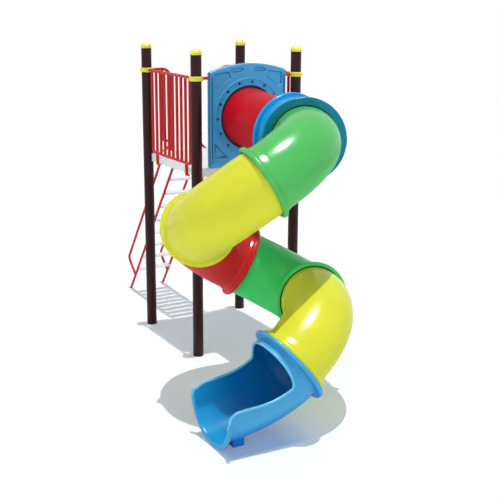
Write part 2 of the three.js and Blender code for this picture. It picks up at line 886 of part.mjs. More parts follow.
const assembly = new THREE.Group();
assembly.add(entry, chuteFoot(), deck(), entryRing(), ...entryPanel());
assembly.add(...barrier(-1, "left"), ...barrier(1, "right"));
assembly.add(...gateGuard(-1, "left"), ...gateGuard(1, "right"));
const corners = [
  [-postPlace, -postPlace, "front_left"],
  [postPlace, -postPlace, "front_right"],
  [-postPlace, postPlace, "back_left"],
  [postPlace, postPlace, "back_right"],
];
for (const [x, y, name] of corners) {
  assembly.add(...postAndCap(x, y, name));
  const split = Math.atan2(y, x) + Math.PI;
  assembly.add(clampHalf(x, y, split, `clamp_${name}_a`), clampHalf(x, y, split + Math.PI, `clamp_${name}_b`));
}
for (const [x, name] of ladderSpan) assembly.add(stringer(x, name), handrail(x, name));
for (let index = 0; index < treadCount; index += 1) assembly.add(tread(index));

// The origin is on the ground, at the middle of the whole object's plan
const plan = new THREE.Box3().setFromObject(assembly, true).getCenter(new THREE.Vector3());
assembly.position.set(-plan.x, -plan.y, 0);
const playgroundSlide = new THREE.Group();
playgroundSlide.add(assembly);

export default playgroundSlide;
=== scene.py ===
# %% [markdown]
# # A playground tower with a spiral tube slide
# A square tower of four posts carries a deck, guards and a ladder. A closed tube of moulded
# elbows starts at a panel on the deck, winds down once round, and ends in an open chute.
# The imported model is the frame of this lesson. Each cell takes the place of one piece from
# it, makes that piece again with fine round forms, and gives it the finish of the real one.

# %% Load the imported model
import math

import bmesh
import bpy
import numpy as np
from mathutils import Matrix, Vector
from mathutils.geometry import delaunay_2d_cdt


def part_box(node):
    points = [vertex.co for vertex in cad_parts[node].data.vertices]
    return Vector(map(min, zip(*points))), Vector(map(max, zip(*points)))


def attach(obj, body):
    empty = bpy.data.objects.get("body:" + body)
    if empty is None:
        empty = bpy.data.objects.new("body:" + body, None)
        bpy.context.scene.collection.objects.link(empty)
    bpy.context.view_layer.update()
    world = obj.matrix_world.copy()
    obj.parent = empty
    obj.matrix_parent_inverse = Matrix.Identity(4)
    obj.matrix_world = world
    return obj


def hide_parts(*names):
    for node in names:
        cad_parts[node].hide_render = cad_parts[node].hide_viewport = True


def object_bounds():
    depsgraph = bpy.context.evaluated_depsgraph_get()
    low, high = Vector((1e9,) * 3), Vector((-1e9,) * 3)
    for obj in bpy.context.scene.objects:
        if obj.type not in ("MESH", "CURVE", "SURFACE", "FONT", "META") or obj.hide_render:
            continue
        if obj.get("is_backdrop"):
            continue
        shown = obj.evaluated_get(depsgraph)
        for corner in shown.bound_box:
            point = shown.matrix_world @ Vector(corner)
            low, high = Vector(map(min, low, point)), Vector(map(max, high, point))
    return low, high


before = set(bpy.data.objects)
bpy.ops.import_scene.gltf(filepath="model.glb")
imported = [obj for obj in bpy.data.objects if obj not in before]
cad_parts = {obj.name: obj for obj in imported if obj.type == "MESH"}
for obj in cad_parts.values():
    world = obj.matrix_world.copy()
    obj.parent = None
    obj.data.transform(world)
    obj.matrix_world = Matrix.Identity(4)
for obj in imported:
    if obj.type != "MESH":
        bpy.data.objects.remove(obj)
cad_low, cad_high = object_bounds()
print("nodes:", len(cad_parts), "height:", round(cad_high.z, 3))

# %% [markdown]
# ## Where the tower stands
# The four posts stand on the corners of a square. Their mean is the tower's middle, and the
# top of the deck is the level that the guards, the panel and the tube are measured from.

# %% Find the tower's middle and the deck's level
POST_NAMES = ("post_front_left", "post_front_right", "post_back_left", "post_back_right")


def middle_of(node):
    low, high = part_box(node)
    return (low + high) / 2


tower = sum((middle_of(name) for name in POST_NAMES), Vector()) / len(POST_NAMES)
tower.z = 0
POST_RADIUS = 0.057
post_place = (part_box("post_front_right")[1].x - POST_RADIUS) - tower.x
post_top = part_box("post_front_left")[1].z
deck_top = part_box("deck")[1].z
print("tower at", tower, "posts out", round(post_place, 4), "deck at", round(deck_top, 4))

# %% [markdown]
# ## Sockets that add up like numbers
# A procedural finish is a sum of patterns. Wiring every Math node by hand hides that sum, so
# a small class wraps a node's output, and the signs + - * on it add the Math nodes. Any
# other node comes from one method, which sets the node up and links what feeds it.


# %% The socket class and the finish class
class Value:
    """An output of a shader node, on which + - * add Math nodes."""

    def __init__(self, finish, socket):
        self.finish, self.socket = finish, socket

    def maths(self, operation, first, second):
        settings = {"operation": operation}
        return self.finish.node("ShaderNodeMath", settings, {0: first, 1: second})

    def __add__(self, other):
        return self.maths("ADD", self, other)

    def __mul__(self, other):
        return self.maths("MULTIPLY", self, other)

    def __sub__(self, other):
        return self.maths("SUBTRACT", self, other)

    def __rsub__(self, other):
        return self.maths("SUBTRACT", other, self)

    __radd__, __rmul__ = __add__, __mul__


class Finish:
    """A material or a world. One method adds any node, and short ones close the tree."""

    def __init__(self, name, world=False):
        self.block = (bpy.data.worlds if world else bpy.data.materials).new(name)
        self.block.use_nodes = True
        self.tree = self.block.node_tree
        self.tree.nodes.clear()
        kind = "ShaderNodeOutputWorld" if world else "ShaderNodeOutputMaterial"
        self.output = self.tree.nodes.new(kind)

    def feed(self, socket, value):
        if isinstance(value, Value):
            self.tree.links.new(value.socket, socket)
        elif socket.type == "RGBA" and len(value) == 3:
            socket.default_value = (*value, 1)
        else:
            socket.default_value = value

    def node(self, kind, settings=None, inputs=None, output=0):
        node = self.tree.nodes.new(kind)
        for key, value in (settings or {}).items():
            if key != "stops":
                setattr(node, key, value)
                continue
            stops = node.color_ramp.elements
            for index, (place, level) in enumerate(value):
                stop = stops[index] if index < len(stops) else stops.new(place)
                stop.position, stop.color = place, (level, level, level, 1)
        for key, value in (inputs or {}).items():
            self.feed(node.inputs[key], value)
        return Value(self, node.outputs[output])

    def mix(self, factor, first, second):
        settings = {"data_type": "RGBA", "clamp_factor": True}
        return self.node("ShaderNodeMix", settings, {"Factor": factor, 6: first, 7: second}, 2)

    def close(self, shader):
        self.tree.links.new(shader.socket, self.output.inputs["Surface"])
        return self.block

    def surface(self, settings, bump=None):
        """The closing Principled shader, from its sockets by name and an optional normal."""
        normal = {} if bump is None else {"Normal": bump}
        return self.close(self.node("ShaderNodeBsdfPrincipled", None, {**settings, **normal}))


# %% [markdown]
# ## Colours as they are written
# A listed colour is a display value. The shader works in linear light, so each
# colour is turned into that once, here, and the finishes below can be written as seen.


# %% A display colour in linear light
def seen(red, green, blue):
    def linear(level):
        share = level / 255
        return share / 12.92 if share <= 0.04045 else ((share + 0.055) / 1.055) ** 2.4

    return tuple(linear(level) for level in (red, green, blue))


def shaded(colour, share):
    return tuple(level * share for level in colour)


# %% [markdown]
# ## Patterns that several finishes share
# Moulded plastic and powder coat are never quite even. A slow noise makes broad patches, a
# fine one makes the orange peel of the surface, and a stretched one makes scuffs. They are
# measured in metres from the object's own place, so a pattern keeps its scale everywhere.
# Where a surface lies and which way it faces tell a finish where rain dulls it and where shade
# is painted.


# %% Noise in metres, places and directions
def places(finish):
    return finish.node("ShaderNodeTexCoord", output="Object")


def facing(finish):
    return finish.node("ShaderNodeNewGeometry", output="Normal")


def part(finish, vector, axis):
    return finish.node("ShaderNodeSeparateXYZ", None, {"Vector": vector}, output=axis)


def upwards(finish):
    """1 where a surface faces the sky, and -1 where it faces the ground."""
    return part(finish, facing(finish), "Z")


def measured(finish, vector, direction):
    """How far a vector goes in a direction."""
    dot = {"operation": "DOT_PRODUCT"}
    return finish.node("ShaderNodeVectorMath", dot, {0: vector, 1: direction}, output="Value")


def patches(finish, size, detail=2.0, roughness=0.5, stretch=None):
    where = places(finish)
    if stretch is not None:
        where = finish.node("ShaderNodeMapping", None, {"Vector": where, "Scale": stretch})
    inputs = {"Vector": where, "Scale": 1 / size, "Detail": detail, "Roughness": roughness}
    return finish.node("ShaderNodeTexNoise", None, inputs)


def ramp(finish, value, low, high):
    """0 below low, 1 above high, and even between them."""
    stops = ((low, 0), (high, 1))
    return finish.node("ShaderNodeValToRGB", {"stops": stops}, {"Fac": value})


def bump(finish, height, depth, strength, under=None):
    normal = {} if under is None else {"Normal": under}
    inputs = {"Height": height, "Distance": depth, "Strength": strength, **normal}
    return finish.node("ShaderNodeBump", None, inputs)


# %% [markdown]
# ## Moulded plastic of the tube
# The elbows are turned in a heated mould, which leaves thick, glossy, even-coloured
# plastic. Close to, it has a faint orange peel and cloudy patches. Riders and rain have
# dulled it in streaks, and rain splashes dirt on all that faces down. So the colour moves
# only a little, and most of the life is in the roughness.

# %% Glossy moulded plastic
PATCH_SIZE, SPECK_SIZE, SCUFF_SIZE, PEEL_SIZE = 0.55, 0.006, 0.09, 0.020
CLEAN, SCUFFED, CLOUDED, SPLASHED = 0.20, 0.06, 0.04, 0.22


def moulded(name, colour, tinted=None, clouded=0.94):
    """tinted(finish, tone) may change the colour in places before it meets the shader."""
    finish = Finish(name)
    cloud = patches(finish, PATCH_SIZE, detail=3.0)
    speck = patches(finish, SPECK_SIZE)
    scuff = patches(finish, SCUFF_SIZE, detail=4.0, stretch=(1, 1, 0.35))
    tone = finish.mix(ramp(finish, cloud, 0.35, 0.7), shaded(colour, clouded), colour)
    tone = finish.mix(ramp(finish, speck, 0.6, 0.8) * 0.06, tone, shaded(colour, 0.75))
    if tinted is not None:
        tone = tinted(finish, tone)
    rough = CLEAN + SCUFFED * ramp(finish, scuff, 0.5, 0.8) + CLOUDED * cloud
    rough = rough + SPLASHED * (1 - ramp(finish, upwards(finish), -0.5, 0.2))
    peel = bump(finish, patches(finish, PEEL_SIZE, detail=1.0), 0.0005, 0.15)
    grain = bump(finish, speck, 0.0001, 0.2, under=peel)
    settings = {"Base Color": tone, "Roughness": rough, "IOR": 1.5, "Specular IOR Level": 0.16}
    return finish.surface(settings, grain)


red_plastic = moulded("red_moulded_plastic", seen(198, 8, 26))
# Elbow 3 gets a paler red than the entry tube, with a stronger cloudy mottle.
paler_mottled_red_plastic = moulded("paler_mottled_red_moulded_plastic", seen(222, 44, 42), clouded=0.80)
light_green_plastic = moulded("light_green_moulded_plastic", seen(86, 190, 96))
green_plastic = moulded("green_moulded_plastic", seen(70, 220, 108), clouded=0.84)
yellow_plastic = moulded("yellow_moulded_plastic", seen(224, 222, 58))
print("plastics:", red_plastic.name, green_plastic.name, yellow_plastic.name)

# %% [markdown]
# ## Powder coat on steel
# Posts and rails are sprayed with powder and baked. The coat shows a fine peel, and it is
# chipped and rubbed in a few small places, where the primer looks duller. A small share of
# specks with another roughness says this better than any strong colour change. Rubber
# seals and bolt heads are simpler still: two near colours in fine patches.


# %% Powder coat, and a plain dull finish for small parts
def powder_coat(name, colour, gloss, worn_colour):
    finish = Finish(name)
    cloud = patches(finish, 0.3, detail=3.0)
    worn = ramp(finish, patches(finish, 0.035, detail=6.0, roughness=0.7), 0.66, 0.7)
    tone = finish.mix(cloud, shaded(colour, 0.85), shaded(colour, 1.08))
    tone = finish.mix(worn * 0.35, tone, worn_colour)
    rough = gloss + 0.12 * cloud + 0.25 * worn
    peel = bump(finish, patches(finish, 0.004, detail=1.0), 0.00025, 0.35)
    settings = {"Base Color": tone, "Roughness": rough, "Specular IOR Level": 0.2}
    return finish.surface(settings, peel)


def plain_dull(name, first, second, roughness):
    finish = Finish(name)
    tone = finish.mix(patches(finish, 0.01), first, second)
    return finish.surface({"Base Color": tone, "Roughness": roughness})


post_coat = powder_coat("brown_powder_coat", seen(50, 13, 15), 0.34, seen(78, 44, 42))
rail_coat = powder_coat("red_powder_coat", seen(208, 42, 42), 0.30, seen(150, 70, 66))
seal_rubber = plain_dull("black_rubber_seal", seen(14, 16, 15), seen(30, 34, 32), 0.7)
bolt_plastic = plain_dull("dark_bolt_caps", seen(22, 40, 80), seen(34, 58, 104), 0.4)
print("coats:", post_coat.name, rail_coat.name, seal_rubber.name, bolt_plastic.name)

# %% [markdown]
# ## From points to a piece
# Most pieces here are rows of points, worked out with numpy. One helper joins the rows by
# faces. Another turns points and faces into a mesh, welds doubled points, makes the faces
# look outwards, and marks the edges that turn sharply, so that round walls shade smoothly
# and rims stay crisp.


# %% Rows of points, and a piece made from them
def sheet(rows, closed=True, loop=False, capped=False):
    """The points of some rows, and the four-sided faces between the rows.

    closed joins each row's end to its start, loop joins the last row to the first, and
    capped fills the first and the last row."""
    count, size = len(rows), len(rows[0])
    faces = []
    for row in range(count if loop else count - 1):
        low, high = row * size, (row + 1) % count * size
        for index in range(size if closed else size - 1):
            after = (index + 1) % size
            faces.append((low + index, low + after, high + after, high + index))
    if capped:
        faces += [tuple(range(size)), tuple(range((count - 1) * size, count * size))]
    return np.vstack(rows), faces


def placed_in_scene(name, data):
    thing = bpy.data.objects.new(name, data)
    bpy.context.scene.collection.objects.link(thing)
    return thing


def made(name, shapes, finish, node=None, sharp=35.0, weld=0.00002, lining=None):
    """lining is (a finish, the number of the shape that has it)."""
    vertices, faces, lined = [], [], []
    for number, (points, loops) in enumerate(shapes):
        base = len(vertices)
        vertices.extend(tuple(map(float, point)) for point in points)
        faces.extend(tuple(base + index for index in loop) for loop in loops)
        lined.extend([int(lining is not None and number == lining[1])] * len(loops))
    mesh = bpy.data.meshes.new(name)
    mesh.from_pydata(vertices, [], faces)
    mesh.polygons.foreach_set("material_index", lined)
    work = bmesh.new()
    work.from_mesh(mesh)
    bmesh.ops.remove_doubles(work, verts=work.verts, dist=weld)
    bmesh.ops.recalc_face_normals(work, faces=work.faces)
    work.to_mesh(mesh)
    work.free()
    mesh.shade_smooth()
    mesh.set_sharp_from_angle(angle=math.radians(sharp))
    mesh.materials.append(finish)
    if lining is not None:
        mesh.materials.append(lining[0])
    piece = placed_in_scene(name, mesh)
    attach(piece, "root")
    if node is not None:
        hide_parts(node)
    return piece


# %% [markdown]
# ## Corners with a radius
# Bent rails, lips and moulded edges all have rounded corners. A polyline with an arc in
# each corner serves for both: in space it is the line of a bent rail, and in a section it
# is the outline of a lip.

# %% Round the corners of a polyline
STRAIGHT = math.radians(89)


def softened(corners, radius, steps=4, loop=False):
    corners = [np.array(corner, float) for corner in corners]
    radii = radius if isinstance(radius, (list, tuple)) else [radius] * len(corners)
    points = []
    for index, corner in enumerate(corners):
        ends = (0, len(corners) - 1)
        if (not loop and index in ends) or radii[index] <= 0:
            points.append(corner)
            continue
        back = corners[index - 1] - corner
        ahead = corners[(index + 1) % len(corners)] - corner
        room = 0.48 * min(np.linalg.norm(back), np.linalg.norm(ahead))
        back = back / np.linalg.norm(back)
        ahead = ahead / np.linalg.norm(ahead)
        half = math.acos(float(np.clip(back @ ahead, -1, 1))) / 2
        if half > STRAIGHT:
            points.append(corner)
            continue
        reach = min(radii[index] / math.tan(half), room)
        middle = (back + ahead) / np.linalg.norm(back + ahead)
        centre = corner + middle * (reach / math.cos(half))
        first, last = corner + back * reach - centre, corner + ahead * reach - centre
        sweep = math.pi - 2 * half
        for share in np.linspace(0, 1, steps + 1):
            spoke = first * math.sin((1 - share) * sweep) + last * math.sin(share * sweep)
            points.append(centre + spoke / math.sin(sweep))
    return points


# %% [markdown]
# ## Bars: a circle carried along a line
# Rails and stringers are round tube, bent cold and welded. A circle is carried along the
# line without twisting, which keeps the facets straight through every bend.


# %% A bar along a line
def around(sides):
    return np.arange(sides) * 2 * math.pi / sides


def bar(line, radius, sides=20):
    line = np.array([tuple(point) for point in line], float)
    steps = np.diff(line, axis=0)
    steps /= np.linalg.norm(steps, axis=1)[:, None]
    tangents = np.vstack([steps[:1], steps[:-1] + steps[1:], steps[-1:]])
    tangents /= np.linalg.norm(tangents, axis=1)[:, None]
    helper = np.eye(3)[np.argmin(abs(tangents[0]))]
    side = np.cross(tangents[0], helper)
    angles, rings = around(sides), []
    for index, (place, tangent) in enumerate(zip(line, tangents)):
        side = side - tangent * (side @ tangent)
        side /= np.linalg.norm(side)
        other = np.cross(tangent, side)
        spokes = np.outer(np.cos(angles), side) + np.outer(np.sin(angles), other)
        inner = 0 < index < len(line) - 1
        mitre = 1 / max(float(tangent @ steps[index - 1]), 0.7) if inner else 1.0
        rings.append(place + radius * mitre * spokes)
    return sheet(rings, capped=True)


# %% [markdown]
# ## Turned forms, straight or bent
# Posts, caps, the ring and every piece of the tube are turned: an outline spun round an
# axis. The tube's pieces are then bent, which leaves each of their rings flat and square to
# the bent axis. So one function spins an outline, and an axis says where each ring goes.


# %% Spin an outline round a straight or bent axis
class Bend:
    """Straight for a lead, then an arc in the XZ plane, then straight to the end."""

    def __init__(self, lead, radius, angle, tail):
        self.lead, self.radius, self.angle = lead, radius, math.radians(angle)
        self.length = lead + self.radius * self.angle + tail

    def at(self, along):
        turned = np.clip((along - self.lead) / self.radius, 0, self.angle)
        tangent = np.stack([np.sin(turned), 0 * turned, np.cos(turned)], 1)
        across = self.radius * (1 - np.cos(turned))
        onward = self.lead + self.radius * np.sin(turned)
        centre = np.stack([across, 0 * turned, onward], 1)
        straight = along - self.lead - self.radius * turned
        return centre + tangent * straight[:, None], tangent


STRAIGHT_ON = Bend(0, 1, 0, math.inf)


def bent(points, axis):
    """Points on a straight tube along Z, moved to where the axis takes them."""
    points = np.asarray(points, float)
    along = np.clip(points[:, 2], 0, axis.length)
    centre, tangent = axis.at(along)
    side = np.stack([tangent[:, 2], 0 * along, -tangent[:, 0]], 1)
    moved = centre + side * points[:, :1] + tangent * (points[:, 2] - along)[:, None]
    moved[:, 1] += points[:, 1]
    return moved


def moved(points, matrix):
    turn = np.array(matrix.to_3x3())
    return np.asarray(points) @ turn.T + np.array(matrix.translation)


def circled(angles, radius, along):
    spun = [radius * np.cos(angles), radius * np.sin(angles), 0 * angles + along]
    return np.stack(spun, 1)


def turned(outline, place, axis=STRAIGHT_ON, sides=96, loop=False):
    """The outline is a list of (distance along the axis, radius)."""
    rings = [circled(around(sides), radius, along) for along, radius in outline]
    points, faces = sheet(rings, loop=loop)
    return moved(bent(points, axis), place), faces


# %% [markdown]
# ## The chain of the tube
# The real slide is put together piece by piece: each elbow is pushed into the one before it
# and turned until the tube winds as planned. The same is done here. A place runs down the
# chain, and each piece adds its end, its bend and its roll to it.

# %% The places of the tube's pieces
ENTRY_PITCH = 5
ENTRY_REACH = 0.780
PANEL_FRONT = 0.0375 + 0.600
HOLE_ABOVE_DECK = 0.517
SOCKET = 0.050
COLLAR_ROLL = -20
COLLAR_ANGLE = 24
COLLAR_LENGTH = 0.470
ELBOW_BEND_RADIUS = 0.635
ELBOW_ANGLE = 83
EXIT_ROLL = -99

pitch = math.radians(ENTRY_PITCH)
hole_centre = tower + Vector((0, -PANEL_FRONT, deck_top + HOLE_ABOVE_DECK))
heading = Vector((0, -math.cos(pitch), -math.sin(pitch)))
sideways = Vector((-1, 0, 0))
entry_place = Matrix((sideways, heading.cross(sideways), heading)).transposed().to_4x4()
entry_place.translation = hole_centre
collar_axis = Bend(
    SOCKET,
    (COLLAR_LENGTH - 2 * SOCKET) / math.radians(COLLAR_ANGLE),
    COLLAR_ANGLE,
    SOCKET,
)
elbow_axis = Bend(0, ELBOW_BEND_RADIUS, ELBOW_ANGLE, SOCKET)


def rolled(place, degrees):
    return place @ Matrix.Rotation(math.radians(degrees), 4, "Z")


def end_of(place, axis):
    centre, tangent = axis.at(np.array([axis.length]))
    turn = math.atan2(tangent[0][0], tangent[0][2])
    return place @ Matrix.Translation(Vector(centre[0])) @ Matrix.Rotation(turn, 4, "Y")


ELBOWS = (
    ("elbow_1_green", 52, light_green_plastic, "tube_light_green"),
    ("elbow_2_yellow", 13, yellow_plastic, "tube_yellow"),
    ("elbow_3_red", 58, paler_mottled_red_plastic, "tube_red"),
    ("elbow_4_green", 14, green_plastic, "tube_green"),
    ("elbow_5_yellow", 67, yellow_plastic, "tube_yellow"),
)
collar_place = rolled(entry_place @ Matrix.Translation((0, 0, ENTRY_REACH)), COLLAR_ROLL)
elbow_places = {}
place = end_of(collar_place, collar_axis)
for name, roll, _, _ in ELBOWS:
    elbow_places[name] = rolled(place, roll)
    place = end_of(elbow_places[name], elbow_axis)
exit_place = rolled(place, EXIT_ROLL)
print("the chute starts at", [round(level, 3) for level in exit_place.translation])

# %% [markdown]
# ## An elbow
# Each elbow is the same moulding: a plain end that goes into the piece above, a bent wall,
# and at the lower end a socket that swells out and ends in a thick rolled lip. The section
# below follows that wall outside from the plain end to the lip, then back up inside.

# %% Elbows
TUBE_RADIUS, TUBE_WALL = 0.325, 0.008
BELL_RADIUS, BELL_RISE, BELL_LEAD, BELL_EDGE, BELL_CURVE = 0.3365, 0.050, 0.02, 0.012, 0.04
LIP_RADIUS, LIP_THICKNESS, LIP_ROUND = 0.371, 0.042, 0.015
LIP_FOOT, MOUTH_ROUND, BORE_LEAD = 0.008, 0.003, 0.004
MOUTH_RADIUS, CHAMFER, JOINT_GAP = 0.3275, 0.012, 0.0015
bore = TUBE_RADIUS - TUBE_WALL


def stations(start, end, radius, count):
    return [(along, radius) for along in np.linspace(start, end, count)]


def lip(start, end, radius, foot):
    """The rolled lip's outside, from the wall at its foot up and over to its face."""
    section = [(start - LIP_ROUND, foot), (start, foot), (start, radius), (end, radius),
               (end, MOUTH_RADIUS + CHAMFER)]
    return softened(section, [0, LIP_FOOT, LIP_ROUND, LIP_ROUND, 0], steps=6)[1:]


def elbow_outline(length):
    shoulder = length - SOCKET
    flare_start = shoulder - BELL_RISE - BELL_LEAD
    flare = [(flare_start, TUBE_RADIUS), (shoulder - BELL_RISE, TUBE_RADIUS),
             (shoulder - BELL_EDGE, BELL_RADIUS),
             (length - LIP_THICKNESS - LIP_ROUND, BELL_RADIUS)]
    mouth = [(length, MOUTH_RADIUS + CHAMFER), (length - CHAMFER, MOUTH_RADIUS),
             (shoulder, MOUTH_RADIUS), (shoulder, bore)]
    return [
        (-SOCKET + JOINT_GAP, TUBE_RADIUS),
        *stations(0, flare_start, TUBE_RADIUS, 30),
        *softened(flare, BELL_CURVE, steps=5)[1:],
        *lip(length - LIP_THICKNESS, length, LIP_RADIUS, BELL_RADIUS),
        *softened(mouth, MOUTH_ROUND, steps=2)[1:],
        *stations(shoulder - BORE_LEAD, 0, bore, 30),
        (-SOCKET + JOINT_GAP, bore),
    ]


for name, _, plastic, slot in ELBOWS:
    shape = turned(elbow_outline(elbow_axis.length), elbow_places[name], elbow_axis, loop=True)
    elbow = made(name + "_moulding", [shape], plastic, name)
    print(elbow.name, len(elbow.data.vertices), "points")

# %% [markdown]
# ## The entry tube
# A straight red tube leaves the panel, a little narrower than the elbows. The flange at its
# upper end stands upright behind the panel while the tube slopes, so the flange's points
# are pushed back by as much as the slope moves them.

# %% Entry tube
ENTRY_RADIUS, ENTRY_FLANGE_RADIUS, ENTRY_EDGE = 0.312, 0.400, 0.002
ENTRY_FLANGE_BACK, ENTRY_FLANGE_FRONT, BEHIND_PANEL = 0.0700, 0.0605, 0.0205

entry_end = ENTRY_REACH + SOCKET - JOINT_GAP
entry_bore = ENTRY_RADIUS - TUBE_WALL
entry_outline = [
    (-ENTRY_FLANGE_BACK, entry_bore), (-ENTRY_FLANGE_BACK, ENTRY_FLANGE_RADIUS),
    (-ENTRY_FLANGE_FRONT, ENTRY_FLANGE_RADIUS), (-ENTRY_FLANGE_FRONT, ENTRY_RADIUS),
    (entry_end, ENTRY_RADIUS), (entry_end, entry_bore),
]
entry_outline = softened(entry_outline, ENTRY_EDGE, steps=2, loop=True)
entry_points, entry_faces = turned(entry_outline, entry_place, loop=True)
behind = entry_points[:, 1] > hole_centre.y + BEHIND_PANEL
lean = math.tan(pitch) * (entry_points[:, 2] - hole_centre.z)
entry_points[behind, 1] += lean[behind]
made("entry_tube_moulding", [(entry_points, entry_faces)], red_plastic, "entry_tube_red")
print("entry tube ends", round(entry_end, 3), "m from the panel")

# %% [markdown]
# ## The collar
# A short blue collar, wider than the tubes, takes in the red tube at one end and the first
# elbow at the other, so that one slide can start at many angles. It is turned in one go,
# lips and sockets included. It is bright blue, but its lower lip is a greener, darker blue.
# Light is painted on that lip's face: a paler teal towards the tower's right, where the face
# looks straight out along the collar. The distance behind the plane of the lip's face tells
# the shader where the lip is, so no paint mask is needed.

# %% The collar's outline
COLLAR_RADIUS, COLLAR_LIP_RADIUS, COLLAR_WALL, COLLAR_STEP = 0.385, 0.413, 0.008, 0.05
ENTRY_MOUTH_RADIUS, COLLAR_LEAD, COLLAR_INNER_LEAD = 0.3145, 0.03, 0.08


def collar_outline(length):
    shoulder, inside = length - SOCKET, COLLAR_RADIUS - COLLAR_WALL
    upper_lip = [(0, ENTRY_MOUTH_RADIUS + CHAMFER), (0, COLLAR_LIP_RADIUS),
                 (LIP_THICKNESS, COLLAR_LIP_RADIUS), (LIP_THICKNESS + CHAMFER, COLLAR_RADIUS)]
    lower_lip = [(length - LIP_THICKNESS - CHAMFER, COLLAR_RADIUS),
                 (length - LIP_THICKNESS, COLLAR_LIP_RADIUS), (length, COLLAR_LIP_RADIUS),
                 (length, MOUTH_RADIUS + CHAMFER)]
    start, end = LIP_THICKNESS + COLLAR_LEAD, length - LIP_THICKNESS - COLLAR_LEAD
    low, high = shoulder - TUBE_WALL, SOCKET + TUBE_WALL
    lower_mouth = [(length - CHAMFER, MOUTH_RADIUS), (shoulder, MOUTH_RADIUS),
                   (shoulder, bore), (low, bore), (low - COLLAR_STEP, inside)]
    upper_mouth = [(high + COLLAR_STEP, inside), (high, entry_bore), (SOCKET, entry_bore),
                   (SOCKET, ENTRY_MOUTH_RADIUS), (CHAMFER, ENTRY_MOUTH_RADIUS)]
    return [
        *softened(upper_lip, LIP_ROUND, steps=6),
        *stations(start, end, COLLAR_RADIUS, 16),
        *softened(lower_lip, LIP_ROUND, steps=6),
        *lower_mouth,
        *stations(shoulder - COLLAR_INNER_LEAD, SOCKET + COLLAR_INNER_LEAD, inside, 12),
        *upper_mouth,
    ]


# %% Collar finish and collar
# The lip keeps its own darker teal; the paler teal is painted light on its face.
COLLAR_BLUE, LIP_TEAL, LIP_PAINTED_LIGHT = seen(6, 154, 220), seen(0, 122, 144), seen(16, 130, 160)
LIP_BLEND = 0.004


def face_of(place, axis):
    """Where the plane of a piece's lower end lies, and which way it looks."""
    end = end_of(place, axis)
    return end.translation, end.to_3x3() @ Vector((0, 0, 1))


def depth_behind(finish, face):
    middle, direction = face
    return middle.dot(direction) - measured(finish, places(finish), direction)


collar_face = face_of(collar_place, collar_axis)


def lip_in_teal(finish, tone):
    behind_face = depth_behind(finish, collar_face)
    edge = (LIP_THICKNESS - LIP_BLEND, LIP_THICKNESS + LIP_BLEND)
    on_lip = 1 - ramp(finish, behind_face, *edge)
    square = measured(finish, facing(finish), collar_face[1])
    outward = part(finish, places(finish), "X") - tower.x
    # Painted light: the paler teal goes towards the tower's right, where the face looks square
    # out.
    painted_light_mask = ramp(finish, outward, -0.30, 0.05) * ramp(finish, square, 0.6, 0.95)
    return finish.mix(on_lip, tone, finish.mix(painted_light_mask, LIP_TEAL, LIP_PAINTED_LIGHT))


collar_plastic = moulded("collar_blue_moulded_plastic", COLLAR_BLUE, tinted=lip_in_teal)
collar_shape = turned(collar_outline(collar_axis.length), collar_place, collar_axis, loop=True)
made("collar_moulding", [collar_shape], collar_plastic, "collar_blue")
print("collar", round(collar_axis.length, 3), "m along its bend")

# %% [markdown]
# ## Seals at the joints
# A black rubber strip closes the gap where a tube goes into the next lip. It is what draws
# the thin dark line round each joint. One small turned ring in each mouth is enough.

# %% Rubber seals
SEAL_DEPTH, SEAL_INNER, SEAL_OUTER = 0.007, TUBE_RADIUS + 0.0004, MOUTH_RADIUS + 0.010


def seal(name, place, axis):
    low, high = axis.length - SEAL_DEPTH, axis.length - SEAL_DEPTH / 3
    section = [(low, SEAL_INNER), (high, SEAL_INNER), (high, SEAL_OUTER), (low, SEAL_OUTER)]
    made(name, [turned(section, place, axis, loop=True)], seal_rubber)


seal("collar_seal_lower", collar_place, collar_axis)
for name, _, _, _ in ELBOWS[:-1]:
    seal(name + "_seal", elbow_places[name], elbow_axis)
print("seals:", len(ELBOWS))

# %% [markdown]
# ## The exit chute
# The last piece starts as a full tube with a thick flange, and opens into a trough with a
# rolled edge all round. A lathe can't open a tube, so each ring of the outline stops at the
# edge of the opening instead of closing. The edge's height above the axis is drawn along
# the chute: down round the hood, along the side walls, and down again at the tip.

# %% The chute's axis and the outline of its opening
EXIT_LEAD, EXIT_RISE, EXIT_REACH = 0.411, 0.280, 0.830
EXIT_RADIUS, EXIT_TIP_RADIUS = 0.351, 0.320
EXIT_LIP_RADIUS, EXIT_LIP_WIDTH = 0.368, 0.030
EXIT_FLANGE_RADIUS, EXIT_FLANGE = 0.412, 0.046
HOOD_LENGTH, HOOD_SWEEP = 0.142, 0.080
WALL_ABOVE_AXIS, WALL_RISE, WALL_LEVEL = 0.046, 0.036, 0.125
TIP_SWEEP, TIP_DROP = 0.130, 0.115
OPENING_TURN = -5


class Upturn:
    """The chute's axis: a parabola that starts straight on and curves up."""

    def __init__(self, lead, rise, reach):
        share = np.linspace(0, 1, 801)[:, None]
        knee, tip = np.array([0, 0, lead]), np.array([rise, 0, reach])
        self.line = 2 * share * (1 - share) * knee + share**2 * tip
        slope = 2 * (1 - 2 * share) * knee + 2 * share * tip
        self.tangents = slope / np.linalg.norm(slope, axis=1)[:, None]
        steps = np.linalg.norm(np.diff(self.line, axis=0), axis=1)
        self.run = np.concatenate([[0], np.cumsum(steps)])
        self.length = float(self.run[-1])

    def at(self, along):
        def follow(rows):
            return np.stack([np.interp(along, self.run, rows[:, k]) for k in range(3)], 1)

        tangent = follow(self.tangents)
        return follow(self.line), tangent / np.linalg.norm(tangent, axis=1)[:, None]


exit_axis = Upturn(EXIT_LEAD, EXIT_RISE, EXIT_REACH)
wall_start = HOOD_LENGTH + HOOD_SWEEP
wall_end = exit_axis.length - TIP_SWEEP


def clamped(share):
    return min(max(share, 0), 1)


